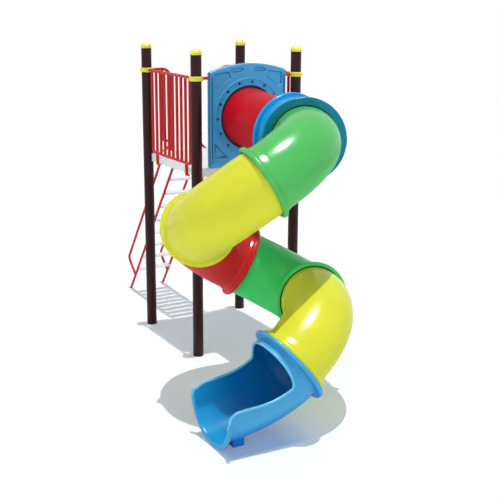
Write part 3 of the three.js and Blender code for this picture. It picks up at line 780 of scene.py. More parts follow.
def eased(share):
    """From 0 to 1 with a soft start and end."""
    share = clamped(share)
    return share * share * (3 - 2 * share)


def quarter(count):
    """Angles over a quarter turn."""
    return np.linspace(0, math.pi / 2, count)


def wall_height(along):
    low = wall_start + WALL_LEVEL
    return WALL_ABOVE_AXIS + WALL_RISE * eased((along - low) / (wall_end - low))


def opening_edge():
    """(distance along the axis, height of the edge above it), from hood to tip."""
    drop, low = EXIT_RADIUS - WALL_ABOVE_AXIS, wall_height(wall_end)
    hood = [(HOOD_LENGTH + HOOD_SWEEP * (1 - math.cos(angle)),
             EXIT_RADIUS - drop * math.sin(angle)) for angle in quarter(19)]
    wall = [(along, wall_height(along)) for along in np.linspace(wall_start, wall_end, 27)]
    tip = [(wall_end + TIP_SWEEP * math.sin(angle), low - TIP_DROP * (1 - math.cos(angle)))
           for angle in quarter(25)]
    return hood + wall[1:] + tip[1:]


edge = opening_edge()
print("chute axis", round(exit_axis.length, 4), "edge points", len(edge))

# %% [markdown]
# ### The chute's wall
# The wall narrows towards the tip, and at the tip it swells into a lip whose edge is rolled
# over. An outer and an inner wall follow the same opening, narrow strips join them at all
# their edges, and a bead runs along the opening as the real rolled edge does.

# %% The chute's wall, its flange and its rolled edge
ROUND, BEAD, BEAD_STEP = 96, 0.012, 0.002
LIP_REACH, LIP_SWELL, OUTER_ROLL, INNER_ROLL = 0.042, 0.75, 0.012, 0.010
FLANGE_FACE, NECK_DIP, NECK_LENGTH = 0.0005, 0.004, 0.030
FLANGE_ROUND, NECK_FOOT, NECK_CURVE = 0.014, 0.008, 0.02


def wall_radius(along):
    neck = EXIT_FLANGE + BELL_RISE
    share = clamped((along - neck) / (exit_axis.length - EXIT_LIP_WIDTH - neck))
    return EXIT_RADIUS + (EXIT_TIP_RADIUS - EXIT_RADIUS) * share


def rolled_over(along, rounding):
    share = clamped(1 - (exit_axis.length - along) / rounding)
    return rounding * (1 - math.sqrt(1 - share**2))


def outside_radius(along):
    grown = eased((along - exit_axis.length + LIP_REACH) / (LIP_SWELL * LIP_REACH))
    proud = (EXIT_LIP_RADIUS - EXIT_TIP_RADIUS) * grown
    return wall_radius(along) + proud - rolled_over(along, OUTER_ROLL)


def inside_radius(along):
    return wall_radius(along) - TUBE_WALL + rolled_over(along, INNER_ROLL)


def open_ring(along, radius, height=math.inf):
    """A ring that stops where the opening's edge is at a height, or closes below it."""
    opening = math.acos(min(height / radius, 1))
    angles = np.linspace(opening, 2 * math.pi - opening, ROUND + 1)
    return circled(angles + math.radians(OPENING_TURN), radius, along)


flange = [(FLANGE_FACE, TUBE_RADIUS), (FLANGE_FACE, EXIT_FLANGE_RADIUS),
          (EXIT_FLANGE, EXIT_FLANGE_RADIUS), (EXIT_FLANGE, EXIT_RADIUS - NECK_DIP),
          (EXIT_FLANGE + NECK_LENGTH, EXIT_RADIUS - NECK_DIP),
          (EXIT_FLANGE + BELL_RISE, EXIT_RADIUS)]
flange_rounding = [0, FLANGE_ROUND, FLANGE_ROUND, NECK_FOOT, NECK_CURVE, 0]
flange = softened(flange, flange_rounding, steps=6)
neck = [(EXIT_FLANGE, bore), (EXIT_FLANGE + BELL_RISE, EXIT_RADIUS - TUBE_WALL)]
outside = [open_ring(*row) for row in [(-SOCKET + JOINT_GAP, TUBE_RADIUS), *flange]]
inside = [open_ring(*row) for row in [(-SOCKET + JOINT_GAP, bore), *neck]]
outside += [open_ring(along, outside_radius(along), height) for along, height in edge]
inside += [open_ring(along, inside_radius(along), height) for along, height in edge]
rims = [
    [np.array([ring[end] for ring in rings[-len(edge):]]) for rings in (outside, inside)]
    for end in (0, ROUND)
]
joined = [outside, inside, (outside[0], inside[0]), (outside[-1], inside[-1]), *rims]
INSIDE_SHAPE = 1


def on_chute(points):
    return moved(bent(points, exit_axis), exit_place)


chute_shapes = [(on_chute(points), faces)
                for points, faces in (sheet(rows, closed=False) for rows in joined)]
middles = [(rim_out + rim_in) / 2 for rim_out, rim_in in rims]
bead_line = np.vstack([middles[0][:0:-1], middles[1]])
steps = np.linalg.norm(np.diff(bead_line, axis=0), axis=1)
bead_line = bead_line[np.concatenate([[True], steps > BEAD_STEP])]
bead_shape = bar(on_chute(bead_line), BEAD, sides=12)
print("rings outside", len(outside), "inside", len(inside))

# %% [markdown]
# ### The chute's blues
# Outside, the chute is a light blue with painted shade: a deeper blue on all that faces the
# ground. The inside has a material of its own, with painted light and shade: bright at the
# tip, where daylight falls in, and a deeper blue further in, with pale streaks where riders
# have rubbed it. How far a point lies behind the plane of the tip drives that change.

# %% Chute finishes and the chute
# The second colour on this line is painted shade for the faces that look down.
CHUTE_BLUE, CHUTE_UNDER_PAINTED_SHADE = seen(72, 164, 211), seen(14, 130, 206)
UNDER_START, UNDER_FULL = 0.42, 0.78
# Painted light near the tip and painted shade further inside the chute.
CHUTE_LIT, CHUTE_DEEP_PAINTED_SHADE = seen(28, 152, 206), seen(12, 112, 182)
LIT_REACH, SHADE_REACH = 0.10, 0.42
chute_tip = face_of(exit_place, exit_axis)


def painted_shade_below(finish, tone):
    rubbed = 0.06 * patches(finish, 0.05, detail=4.0)
    # Painted shade: a deeper blue on faces that look down; the noise only roughens its edge.
    below = ramp(finish, rubbed - upwards(finish), UNDER_START, UNDER_FULL)
    return finish.mix(below, tone, CHUTE_UNDER_PAINTED_SHADE)


def painted_light_and_shade_inside(finish, tone):
    # Painted light and shade: bright near the tip, deeper further in. The pale streaks are
    # real wear.
    shade_inwards = ramp(finish, depth_behind(finish, chute_tip), LIT_REACH, SHADE_REACH)
    worn = ramp(finish, patches(finish, 0.04, detail=5.0, stretch=(1, 1, 0.4)), 0.55, 0.75)
    return finish.mix(worn * 0.15, finish.mix(shade_inwards, CHUTE_LIT, CHUTE_DEEP_PAINTED_SHADE), tone)


chute_plastic = moulded("chute_blue_moulded_plastic", CHUTE_BLUE, tinted=painted_shade_below)
painted_chute_lining = moulded("chute_inside_painted_light_and_shade_plastic", CHUTE_BLUE, tinted=painted_light_and_shade_inside)
chute = made("exit_chute_moulding", chute_shapes, chute_plastic, "exit_chute_blue",
             lining=(painted_chute_lining, INSIDE_SHAPE))
# Painted highlight: the rolled edge is a paler blue than the chute, for the bright line along
# it.
edge_highlight_plastic = moulded("rolled_edge_painted_highlight_plastic", seen(104, 190, 232))
made("exit_chute_rolled_edge", [bead_shape], edge_highlight_plastic, None)
foot_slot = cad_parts["chute_foot"].material_slots[0]
foot_slot.material = moulded("foot_blue_moulded_plastic", seen(46, 130, 214))
print("chute:", len(chute.data.vertices), "points")

# %% [markdown]
# ## Posts and caps
# Each post is a straight steel tube with a yellow moulded cap. The cap has a short skirt
# that overhangs the post a little, a fine groove, and a dome whose edge is rounded, so it
# catches a soft light all the way round. Pieces that touch keep a hair's breadth between
# them, so that no two faces lie in one place.

# %% Posts and caps
CAP_OVERHANG, CAP_SKIRT, CAP_DOME, TOUCH = 0.003, 0.016, 0.046, 0.0003
CAP_CHAMFER, CAP_CHAMFER_TOP, CAP_GROOVE, CAP_GROOVE_DEPTH = 0.002, 0.0025, 0.001, 0.0012
POST_EDGE = 0.0015
TRIM_YELLOW = seen(240, 234, 56)
yellow_trim = Finish("yellow_trim_plastic")
trim_cloud = patches(yellow_trim, 0.08, detail=3.0)
trim_tone = yellow_trim.mix(trim_cloud * 0.5, TRIM_YELLOW, shaded(TRIM_YELLOW, 0.82))
yellow_trim_plastic = yellow_trim.surface(
    {"Base Color": trim_tone, "Roughness": 0.38 + 0.12 * trim_cloud},
    bump(yellow_trim, patches(yellow_trim, 0.0015, detail=1.0), 0.0001, 0.4),
)
cap_radius = POST_RADIUS + CAP_OVERHANG
cap_outline = [
    (TOUCH, 0), (TOUCH, cap_radius - CAP_CHAMFER), (CAP_CHAMFER_TOP, cap_radius),
    (CAP_SKIRT - 3 * CAP_GROOVE, cap_radius),
    (CAP_SKIRT - 2 * CAP_GROOVE, cap_radius - CAP_GROOVE_DEPTH),
    (CAP_SKIRT - CAP_GROOVE, cap_radius),
    *[(CAP_SKIRT + CAP_DOME * math.sin(angle), cap_radius * math.cos(angle))
      for angle in quarter(14)],
]
post_outline = [(0, 0), (0, POST_RADIUS), (post_top, POST_RADIUS), (post_top, 0)]
post_outline = softened(post_outline, POST_EDGE, steps=2)


def upright(place, z):
    return Matrix.Translation((place.x, place.y, z))


for name in POST_NAMES:
    cap = name.replace("post", "post_cap")
    tube = turned(post_outline, upright(middle_of(name), 0), sides=64)
    dome = turned(cap_outline, upright(middle_of(name), post_top), sides=64)
    made(name + "_tube", [tube], post_coat, name)
    made(cap + "_dome", [dome], yellow_trim_plastic, cap)
print("posts", round(post_top, 3), "m high")

# %% [markdown]
# ## Rail clamps
# Two halves of a moulded collar close round each post and hold the rails. The halves are
# sectors of a turned ring with rounded edges. A thin gap shows where they meet.

# %% Clamps
CLAMP_WALL, CLAMP_HEIGHT, CLAMP_GAP = 0.0170, 0.048, 0.0012
CLAMP_ROUND, CLAMP_EDGE = 0.005, 0.001


def sector(outline, place, start, end, count=40):
    """A closed outline spun through part of a turn, with flat ends."""
    along, radius = np.array(outline).T
    rows = [circled(angle, radius, along) for angle in np.linspace(start, end, count)]
    points, faces = sheet(rows, capped=True)
    return moved(points, place), faces


inner, outer, low = POST_RADIUS + TOUCH, POST_RADIUS + CLAMP_WALL, CLAMP_HEIGHT / 2
clamp_section = softened(
    [(-low, inner), (-low, outer), (low, outer), (low, inner)],
    [CLAMP_EDGE, CLAMP_ROUND, CLAMP_ROUND, CLAMP_EDGE], loop=True,
)
gap_angle = CLAMP_GAP / outer
for name in POST_NAMES:
    centre = middle_of(name)
    split = math.atan2(centre.y - tower.y, centre.x - tower.x) + math.pi
    for half, turn in (("a", 0), ("b", math.pi)):
        node = name.replace("post", "clamp") + "_" + half
        start = split + turn + gap_angle
        spot = upright(centre, middle_of(node).z)
        shape = sector(clamp_section, spot, start, start + math.pi - 2 * gap_angle)
        made(node + "_shell", [shape], yellow_trim_plastic, node)
print("clamps at", round(spot.translation.z, 3))

# %% [markdown]
# ## Weld beads and soft blocks
# Two small solids are quicker to ask Blender for than to work out: a ball, for the bead
# where a tube ends or meets another, and a block with bevelled edges, for clips, ribs, lugs
# and treads. Both come back as points and faces, so that they can join a piece's shapes.


# %% Weld beads and soft blocks
def taken_from(work):
    """The points and the faces of a bmesh, which is then let go."""
    work.verts.index_update()
    points = [vertex.co.copy() for vertex in work.verts]
    faces = [tuple(vertex.index for vertex in face.verts) for face in work.faces]
    work.free()
    return points, faces


def weld(place, radius):
    """A small bead where one bar meets another."""
    ball = bmesh.new()
    bmesh.ops.create_uvsphere(ball, u_segments=12, v_segments=8, radius=radius,
                              matrix=Matrix.Translation(place))
    return taken_from(ball)


def soft_block(low, high, rounding):
    """A block with rounded edges, as points and faces."""
    low, high = Vector(low), Vector(high)
    shape = Matrix.LocRotScale((low + high) / 2, None, high - low)
    work = bmesh.new()
    bmesh.ops.create_cube(work, size=1, matrix=shape)
    bmesh.ops.bevel(work, geom=work.edges[:], offset=rounding, segments=3, profile=0.5,
                    affect="EDGES")
    return taken_from(work)


print("a block with round edges has", len(soft_block((0, 0, 0), (1, 1, 1), 0.1)[0]),
      "points")

# %% [markdown]
# ## Side barriers
# Each side of the deck has one welded frame: a top rail between the clamps, a hoop with
# rounded corners, upright bars at an even pitch, and two legs that run down to the deck's
# skirt, where they are bolted under small yellow caps.

# %% Side barriers and their bolt caps
RAIL_RADIUS, BAR_RADIUS = 0.016, 0.016
CLAMP_ABOVE_DECK = 0.945
BARRIER_HALF_SPAN, BARRIER_FOOT, BARRIER_CORNER, BARRIER_PITCHES = 0.463, 0.032, 0.045, 9
BARRIER_LEG, BARRIER_LEG_DROP, FRAME_WELD = 0.365, 0.092, 0.00001
rail_height = deck_top + CLAMP_ABOVE_DECK
rail_reach = post_place - POST_RADIUS - CLAMP_WALL - 2 * TOUCH
BOLT_CAP_ROUND = 0.002
BOLT_DOME = [(0, 0), (0, 0.015), (0.004, 0.015), (0.0085, 0.012), (0.011, 0.006), (0.011, 0)]


for side, name in ((-1, "left"), (1, "right")):
    x, foot = tower.x + side * post_place, deck_top + BARRIER_FOOT
    low = deck_top - BARRIER_LEG_DROP

    def at(y, z):
        return (x, tower.y + y, z)

    hoop = [at(-BARRIER_HALF_SPAN, rail_height), at(-BARRIER_HALF_SPAN, foot),
            at(BARRIER_HALF_SPAN, foot), at(BARRIER_HALF_SPAN, rail_height)]
    shapes = [
        bar([at(-rail_reach, rail_height), at(rail_reach, rail_height)], RAIL_RADIUS),
        bar(softened(hoop, BARRIER_CORNER, steps=8), BAR_RADIUS),
    ]
    for share in np.linspace(-1, 1, BARRIER_PITCHES + 1)[1:-1]:
        y = float(share) * BARRIER_HALF_SPAN
        shapes.append(bar([at(y, foot), at(y, rail_height)], BAR_RADIUS, sides=16))
    for y in (-BARRIER_LEG, BARRIER_LEG):
        shapes.append(bar([at(y, low), at(y, foot)], BAR_RADIUS, sides=16))
        shapes.append(weld(at(y, low), BAR_RADIUS))
    made(f"barrier_{name}_frame", shapes, rail_coat, f"barrier_{name}",
         weld=FRAME_WELD)
    for end in ("front", "back"):
        node = f"bolt_cap_{name}_{end}"
        centre = middle_of(node)
        spot = Matrix.Translation((x + side * (BAR_RADIUS + TOUCH), centre.y, centre.z))
        spot = spot @ Matrix.Rotation(side * math.pi / 2, 4, "Y")
        shape = turned(softened(BOLT_DOME, BOLT_CAP_ROUND, steps=3), spot, sides=32)
        made(node + "_dome", [shape], yellow_trim_plastic, node)
print("rails at", round(rail_height, 3))

# %% [markdown]
# ## Guards beside the ladder
# Two narrow frames close the gaps between the back posts and the ladder. Each is one tube
# that comes from the clamp, bends down and runs past the deck's edge, with a second, shorter
# tube welded in that turns across it near the foot, and a yellow clip on the deck.

# %% Ladder guards and their clips
GATE_HALF_WIDTH, GATE_CORNER, CLIP_ROUND = 0.315, 0.100, 0.003
GATE_BAR_INSET, GATE_FOOT, GATE_FOOT_CORNER, GATE_LEG_DROP = 0.100, 0.120, 0.030, 0.070


for side, name in ((-1, "left"), (1, "right")):
    x, low = tower.x + side * GATE_HALF_WIDTH, deck_top - GATE_LEG_DROP
    bar_x, foot = x + side * GATE_BAR_INSET, deck_top + GATE_FOOT

    def at(x, z):
        return (x, tower.y + post_place, z)

    hoop = [at(tower.x + side * rail_reach, rail_height), at(x, rail_height), at(x, low)]
    infill = [at(bar_x, rail_height), at(bar_x, foot), at(x, foot)]
    shapes = [
        bar(softened(hoop, GATE_CORNER, steps=10), BAR_RADIUS),
        bar(softened(infill, GATE_FOOT_CORNER, steps=6), BAR_RADIUS, sides=16),
        weld(at(x, low), BAR_RADIUS),
    ]
    made(f"gate_guard_{name}_frame", shapes, rail_coat, f"gate_guard_{name}",
         weld=FRAME_WELD)
for node in ("gate_clip_left", "gate_clip_right"):
    clip = soft_block(*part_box(node), CLIP_ROUND)
    made(node + "_body", [clip], yellow_trim_plastic, node)
print("guards' legs", 2 * GATE_HALF_WIDTH, "m apart")

# %% [markdown]
# ## Flat plates with rounded edges
# The deck, the panel and the treads are plates: a flat drawing with a depth. The face is
# filled by triangulation, so it can have notches, recesses and a hole. The edge is a row of
# loops that runs over from the front to the back, each a little inside the last, as a
# rounded edge does.


# %% Loops in a plane, and the faces between them
INSIDE_THE_EDGES = 1


def arc(centre, radius, start, end, count):
    angles = np.radians(np.linspace(start, end, count))
    x, y = centre
    return [(x + radius * math.cos(angle), y + radius * math.sin(angle)) for angle in angles]


def anticlockwise(loop):
    loop = np.array([tuple(point) for point in loop], float)
    after = np.roll(loop, -1, 0)
    area = (loop[:, 0] * after[:, 1] - after[:, 0] * loop[:, 1]).sum()
    return loop if area > 0 else loop[::-1]


def inset(loop, distance):
    """An anticlockwise loop moved inwards by a distance, corner by corner."""
    ahead = np.roll(loop, -1, 0) - loop
    ahead /= np.linalg.norm(ahead, axis=1)[:, None]
    back = np.roll(ahead, 1, 0)
    first = np.stack([-ahead[:, 1], ahead[:, 0]], 1)
    inward = first + np.stack([-back[:, 1], back[:, 0]], 1)
    inward /= np.linalg.norm(inward, axis=1)[:, None]
    stretch = 1 / np.clip((inward * first).sum(1), 0.5, 1)
    return loop + inward * (distance * stretch)[:, None]


def filled(loops, hole_radius=0):
    """Triangles between loops that each have a level, with none in the panel's round hole."""
    points, edges, levels = [], [], []
    for loop, level in loops:
        base = len(points)
        points.extend(Vector(point) for point in loop)
        levels.extend([level] * len(loop))
        edges.extend((base + k, base + (k + 1) % len(loop)) for k in range(len(loop)))
    out = delaunay_2d_cdt(points, edges, [], INSIDE_THE_EDGES, 1e-7)
    levels = [levels[source[0]] if source else 0.0 for source in out[3]]
    flat = np.array([tuple(point) for point in out[0]])
    faces = [
        tuple(face) for face in out[2]
        if np.linalg.norm(flat[face].mean(axis=0) - (0, HOLE_ABOVE_DECK)) > hole_radius
    ]
    return flat, faces, levels


def rounded_edge(radius, count):
    """(inwards, down) of loops that run over a rounded edge."""
    return [(radius * (1 - math.sin(angle)), radius * (1 - math.cos(angle)))
            for angle in quarter(count)]


# %% [markdown]
# ## The deck
# The deck is a sheet folded down at its edges, coated white. Many small holes let the rain
# through. They are too many to cut out of the mesh, so the finish draws them on the faces
# that look up: a dark spot on an even grid, with a small dimple round each.


# %% Deck finish with its pattern of drain holes
def punched(name, colour, spacing, hole, gloss=0.45):
    finish = Finish(name)
    cloud = patches(finish, 0.25, detail=3.0)
    scuff = ramp(finish, patches(finish, 0.05, detail=6.0, roughness=0.7), 0.55, 0.75)
    inputs = {"Vector": places(finish), "Scale": 1 / spacing, "Randomness": 0.0}
    settings = {"voronoi_dimensions": "2D", "feature": "F1"}
    away = finish.node("ShaderNodeTexVoronoi", settings, inputs)
    hole_share = hole / spacing
    sheet_share = ramp(finish, away, hole_share * 0.82, hole_share)
    holes = (1 - sheet_share) * ramp(finish, upwards(finish), 0.9, 0.95)
    tone = finish.mix(cloud, colour, shaded(colour, 0.93))
    tone = finish.mix(scuff * 0.35, tone, shaded(colour, 0.78))
    tone = finish.mix(holes, tone, seen(120, 124, 130))
    dent = bump(finish, 1 - holes, 0.002, 0.6)
    peel = bump(finish, patches(finish, 0.003, detail=1.0), 0.0002, 0.3, under=dent)
    rough = gloss + 0.2 * scuff + 0.2 * holes
    return finish.surface({"Base Color": tone, "Roughness": rough}, peel)


DECK_WHITE, HOLE_SPACING = seen(244, 247, 249), 0.020
DECK_HOLE, TREAD_HOLE = 0.0045, 0.0055
deck_coat = punched("punched_white_deck", DECK_WHITE, HOLE_SPACING, DECK_HOLE)
tread_coat = punched("punched_white_treads", DECK_WHITE, HOLE_SPACING, TREAD_HOLE)
print("drain holes every", HOLE_SPACING, "m")

# %% [markdown]
# ### The deck's sheet
# The sheet's corners are cut out round the posts, and ribs and gussets stiffen it below. One
# corner is drawn and turned four times. The skirt's loops follow the fold over the edge,
# down, and back up inside.

# %% The deck's sheet, skirt, ribs and gussets
DECK_DEPTH, DECK_SHEET, DECK_FOLD, DECK_GUSSET, DECK_RIB = 0.090, 0.004, 0.006, 0.150, 0.030
GUSSET_RADIUS, RIB_ROUND, NOTCH_GAP = 0.020, 0.002, 0.002
deck_edge = post_place - BAR_RADIUS - TOUCH
notch = POST_RADIUS + NOTCH_GAP
post_gap = math.degrees(math.asin((post_place - deck_edge) / notch))
corner_cut = arc((post_place, post_place), notch, 270 - post_gap, 180 + post_gap, 13)
QUARTER_TURNS = ((1, 0), (0, 1), (-1, 0), (0, -1))
deck_loop = anticlockwise([(x * cosine - y * sine, x * sine + y * cosine)
                           for cosine, sine in QUARTER_TURNS for x, y in corner_cut])


def below_deck(points, depth):
    return np.array([(tower.x + x, tower.y + y, deck_top - depth) for x, y in points])


rows = rounded_edge(DECK_FOLD, 6)
rows += [(0, DECK_DEPTH), (DECK_SHEET, DECK_DEPTH), (DECK_SHEET, DECK_SHEET)]
deck_shapes = [sheet([below_deck(inset(deck_loop, inward), depth) for inward, depth in rows])]
for inward, depth in ((DECK_FOLD, 0), (DECK_SHEET, DECK_SHEET)):
    points, faces, _ = filled([(inset(deck_loop, inward), 0.0)])
    deck_shapes.append((below_deck(points, depth), faces))
inner = deck_edge - DECK_SHEET
for reach in ((inner, DECK_RIB / 2), (DECK_RIB / 2, inner)):
    low = Vector((tower.x - reach[0], tower.y - reach[1], deck_top - DECK_DEPTH))
    high = Vector((tower.x + reach[0], tower.y + reach[1], deck_top - DECK_SHEET))
    deck_shapes.append(soft_block(low, high, RIB_ROUND))
brace = np.array([(inner, inner - DECK_GUSSET), (inner - DECK_GUSSET, inner)])
for x_side, y_side in ((-1, -1), (-1, 1), (1, -1), (1, 1)):
    ends = below_deck(brace * (x_side, y_side), DECK_DEPTH / 2)
    deck_shapes.append(bar(ends, GUSSET_RADIUS, sides=8))
deck = made("deck_sheet", deck_shapes, deck_coat, "deck", sharp=40)
print("deck:", len(deck.data.vertices), "points, edge at", round(deck_edge, 4))

# %% [markdown]
# ## The entry panel
# The panel is a hollow moulding with an arched top, rounded edges and a pressed pattern of
# recesses round the hole. The pattern is drawn on one half, as corners in metres from the
# middle of the deck's level, and mirrored.

# %% The panel's outline and its recesses
PANEL_HALF_WIDTH, PANEL_THICKNESS = 0.465, 0.060
PANEL_SHOULDER, PANEL_CROWN, HOLE_RADIUS = 1.001, 1.081, 0.336
PANEL_ROUND, PRESS_DEPTH, PRESS_SLOPE, HOLE_ROUND = 0.012, 0.014, 0.013, 0.004
PANEL_CORNER, RECESS_CURVE, SLOPE_SHARE = 0.02, 0.470, 0.2

rise = PANEL_CROWN - PANEL_SHOULDER
arch_radius = (PANEL_HALF_WIDTH**2 + rise**2) / (2 * rise)
arch_reach = math.degrees(math.asin(PANEL_HALF_WIDTH / arch_radius))
crown = arc((0, PANEL_CROWN - arch_radius), arch_radius, 90 - arch_reach, 90 + arch_reach, 41)
panel_loop = [(-PANEL_HALF_WIDTH, TOUCH), (PANEL_HALF_WIDTH, TOUCH), *crown]
corner_rounding = [*[PANEL_CORNER] * 3, *[0] * (len(crown) - 2), PANEL_CORNER]
panel_loop = anticlockwise(softened(panel_loop, corner_rounding, steps=6, loop=True))


def around_hole(radius, start, end, count):
    return arc((0, HOLE_ABOVE_DECK), radius, start, end, count)


corner_recess = [(0.412, 0.852), (0.412, 0.980), (0.235, 1.006),
                 *around_hole(RECESS_CURVE, 64, 40, 9)]
gusset_recess = [(0.412, 0.100), (0.412, 0.258), *around_hole(RECESS_CURVE, -34, -57, 9),
                 (0.232, 0.100)]
leaf_recess = [(0.046, 1.018), (0.082, 0.994), (0.182, 0.990), (0.226, 1.006),
               (0.190, 1.030), (0.088, 1.041)]
side_groove = [(0.428, 0.040), (0.447, 0.040), (0.447, 0.955), (0.428, 0.955)]
recess_rounding = ((corner_recess, 0.012), (gusset_recess, 0.012), (leaf_recess, 0.020),
                   (side_groove, 0.009))
recesses = [
    anticlockwise(softened([(side * x, z) for x, z in corners], rounding, loop=True))
    for side in (-1, 1) for corners, rounding in recess_rounding
]
print("recesses in the panel:", len(recesses))

# %% [markdown]
# ### From the drawing to the moulding
# The front is one flat drawing. Each recess has an outer loop on the face and a smaller one
# below it, which gives it sloped sides. The edges run over from the front to the back.

# %% The panel itself
front_y = hole_centre.y


def behind_front(points, depth):
    depths = np.broadcast_to(depth, len(points))
    return np.array([
        (tower.x + x, front_y + level, deck_top + z) for (x, z), level in zip(points, depths)
    ])


hole_face = around_hole(HOLE_RADIUS + HOLE_ROUND, 0, 360, 121)[:-1]
hole_wall = around_hole(HOLE_RADIUS, 0, 360, 121)[:-1]
back_loops = [(inset(panel_loop, PANEL_ROUND), 0.0), (hole_face, 0.0)]
front_loops = list(back_loops)
for recess in recesses:
    slope = min(PRESS_SLOPE, SLOPE_SHARE * min(np.ptp(recess, axis=0)))
    front_loops += [(recess, 0.0), (inset(recess, slope), PRESS_DEPTH)]
front_points, front_faces, front_depths = filled(front_loops, HOLE_RADIUS + HOLE_ROUND)
back_points, back_faces, _ = filled(back_loops, HOLE_RADIUS + HOLE_ROUND)
rows = rounded_edge(PANEL_ROUND, 7)
rows += [(inward, PANEL_THICKNESS - depth) for inward, depth in rows[::-1]]
hole_rows = ((hole_face, 0.0), (hole_wall, HOLE_ROUND),
             (hole_wall, PANEL_THICKNESS - HOLE_ROUND), (hole_face, PANEL_THICKNESS))
panel_shapes = [
    (behind_front(front_points, front_depths), front_faces),
    (behind_front(back_points, PANEL_THICKNESS), back_faces),
    sheet([behind_front(inset(panel_loop, inward), depth) for inward, depth in rows]),
    sheet([behind_front(loop, depth) for loop, depth in hole_rows]),
]
print("front of the panel:", len(front_faces), "faces")

# %% [markdown]
# ## The panel's plastic
# The panel is one blue all through. Shade is painted where the recesses slope down: the
# finish reads how deep a point lies below the face, and darkens only the slopes.

# %% Panel finish
PANEL_BLUE, RING_BLUE = seen(64, 170, 226), seen(58, 166, 226)
# The first colour here is painted shade for the recesses' slopes; the second is rubbed wear.
PANEL_SLOPE_PAINTED_SHADE, PANEL_RUBBED = seen(10, 84, 152), seen(120, 180, 214)


def panel_plastic_finish(name, colour, front):
    finish = Finish(name)
    cloud = patches(finish, 0.18, detail=4.0)
    below = (part(finish, places(finish), "Y") - front) * (1 / PRESS_DEPTH)
    # Painted shade: only the sloped sides of the recesses are darkened.
    slope = ramp(finish, below, 0.05, 0.35) * (1 - ramp(finish, below, 0.75, 0.98))
    rubbed = patches(finish, 0.012, detail=5.0, stretch=(1, 1, 0.3))
    tone = finish.mix(cloud, colour, shaded(colour, 0.86))
    tone = finish.mix(slope * 0.85, tone, PANEL_SLOPE_PAINTED_SHADE)
    tone = finish.mix(ramp(finish, rubbed, 0.62, 0.72) * 0.12, tone, PANEL_RUBBED)
    grain = bump(finish, patches(finish, 0.0018), 0.00015, 0.5)
    rough = 0.34 + 0.16 * rubbed + 0.08 * cloud
    return finish.surface({"Base Color": tone, "Roughness": rough}, grain)


panel_plastic = panel_plastic_finish("panel_blue_plastic", PANEL_BLUE, front_y)
ring_plastic = panel_plastic_finish("ring_blue_plastic", RING_BLUE, front_y - 1)
panel = made("entry_panel_moulding", panel_shapes, panel_plastic, "entry_panel",
             sharp=24)
rail_line = [(tower.x + side * rail_reach, tower.y - post_place, rail_height)
             for side in (-1, 1)]
made("entry_panel_rail_bar", [bar(rail_line, RAIL_RADIUS)], rail_coat, "entry_panel_rail")
print("panel:", len(panel.data.vertices), "points")

# %% [markdown]
# ## The ring round the hole
# A moulded ring is bolted round the hole and holds the tube's flange to the panel. Its
# raised outer bead catches the light, and dark bolt heads stand in the channel inside it. A
# black ring of painted shade, sunk a little, fills the gap between the ring and the tube.

# %% Ring, painted shade in the gap, and bolts
RING_OUTER, RING_THICKNESS, RING_CHANNEL, RING_BOLTS = 0.415, 0.012, 0.007, 15
RING_BEAD, RING_SLOPE, BOLT_RADIUS, BOLT_TOP = 0.014, 0.021, 0.016, 0.0125
RING_INNER_SLOPE, RING_ROUND, BOLT_SUNK, BOLT_ROUND = 0.022, 0.0035, 0.001, 0.004
GAP_SHARE, GAP_DEPTH, SHADE_RING_INNER_GAP, SHADE_RING_OUTER_GAP = 0.4, 0.006, 0.0015, 0.0002
facing_out = Matrix.Translation(hole_centre + Vector((0, -TOUCH, 0)))
facing_out = facing_out @ Matrix.Rotation(math.pi / 2, 4, "X")
ring_outline = [
    (0, HOLE_RADIUS), (0, RING_OUTER), (RING_THICKNESS, RING_OUTER),
    (RING_THICKNESS, RING_OUTER - RING_BEAD), (RING_CHANNEL, RING_OUTER - RING_SLOPE),
    (RING_CHANNEL, HOLE_RADIUS + RING_INNER_SLOPE),
    (RING_THICKNESS, HOLE_RADIUS + RING_BEAD),
    (RING_THICKNESS, HOLE_RADIUS),
]
ring_shape = turned(softened(ring_outline, RING_ROUND, loop=True), facing_out, loop=True)
made("entry_ring_moulding", [ring_shape], ring_plastic, "entry_ring")
# Painted shade: a black ring sunk in the gap between the ring and the tube darkens the gap.
gap_inner, gap_outer = ENTRY_RADIUS + SHADE_RING_INNER_GAP, HOLE_RADIUS - SHADE_RING_OUTER_GAP
gap_outline = [(0, gap_inner), (GAP_DEPTH, gap_inner), (GAP_DEPTH * GAP_SHARE, gap_outer),
               (0, gap_outer)]
made("entry_gap_painted_shade", [turned(gap_outline, facing_out, loop=True)], seal_rubber)
head_foot, bolt_circle = RING_CHANNEL - BOLT_SUNK, (HOLE_RADIUS + RING_OUTER) / 2
head = [(head_foot, 0), (head_foot, BOLT_RADIUS), (BOLT_TOP, BOLT_RADIUS), (BOLT_TOP, 0)]
head = softened(head, BOLT_ROUND)
bolt_shapes = []
for index in range(RING_BOLTS):
    angle = 2 * math.pi * (index + 0.5) / RING_BOLTS
    across = Vector((bolt_circle * math.cos(angle), bolt_circle * math.sin(angle), 0))
    bolt_shapes.append(turned(head, facing_out @ Matrix.Translation(across), sides=24))
made("entry_ring_bolts", bolt_shapes, bolt_plastic, None)
print("bolts:", len(bolt_shapes))

# %% [markdown]
# ## The ladder
# Two steel tubes lean against the deck on welded lugs. The handrails run above them and
# bend down at both ends to meet them, at the deck and just above the ground. A stringer is
# made as a square-ended bar, and then its end points slide along it to lie flat on the
# ground and upright against the deck.

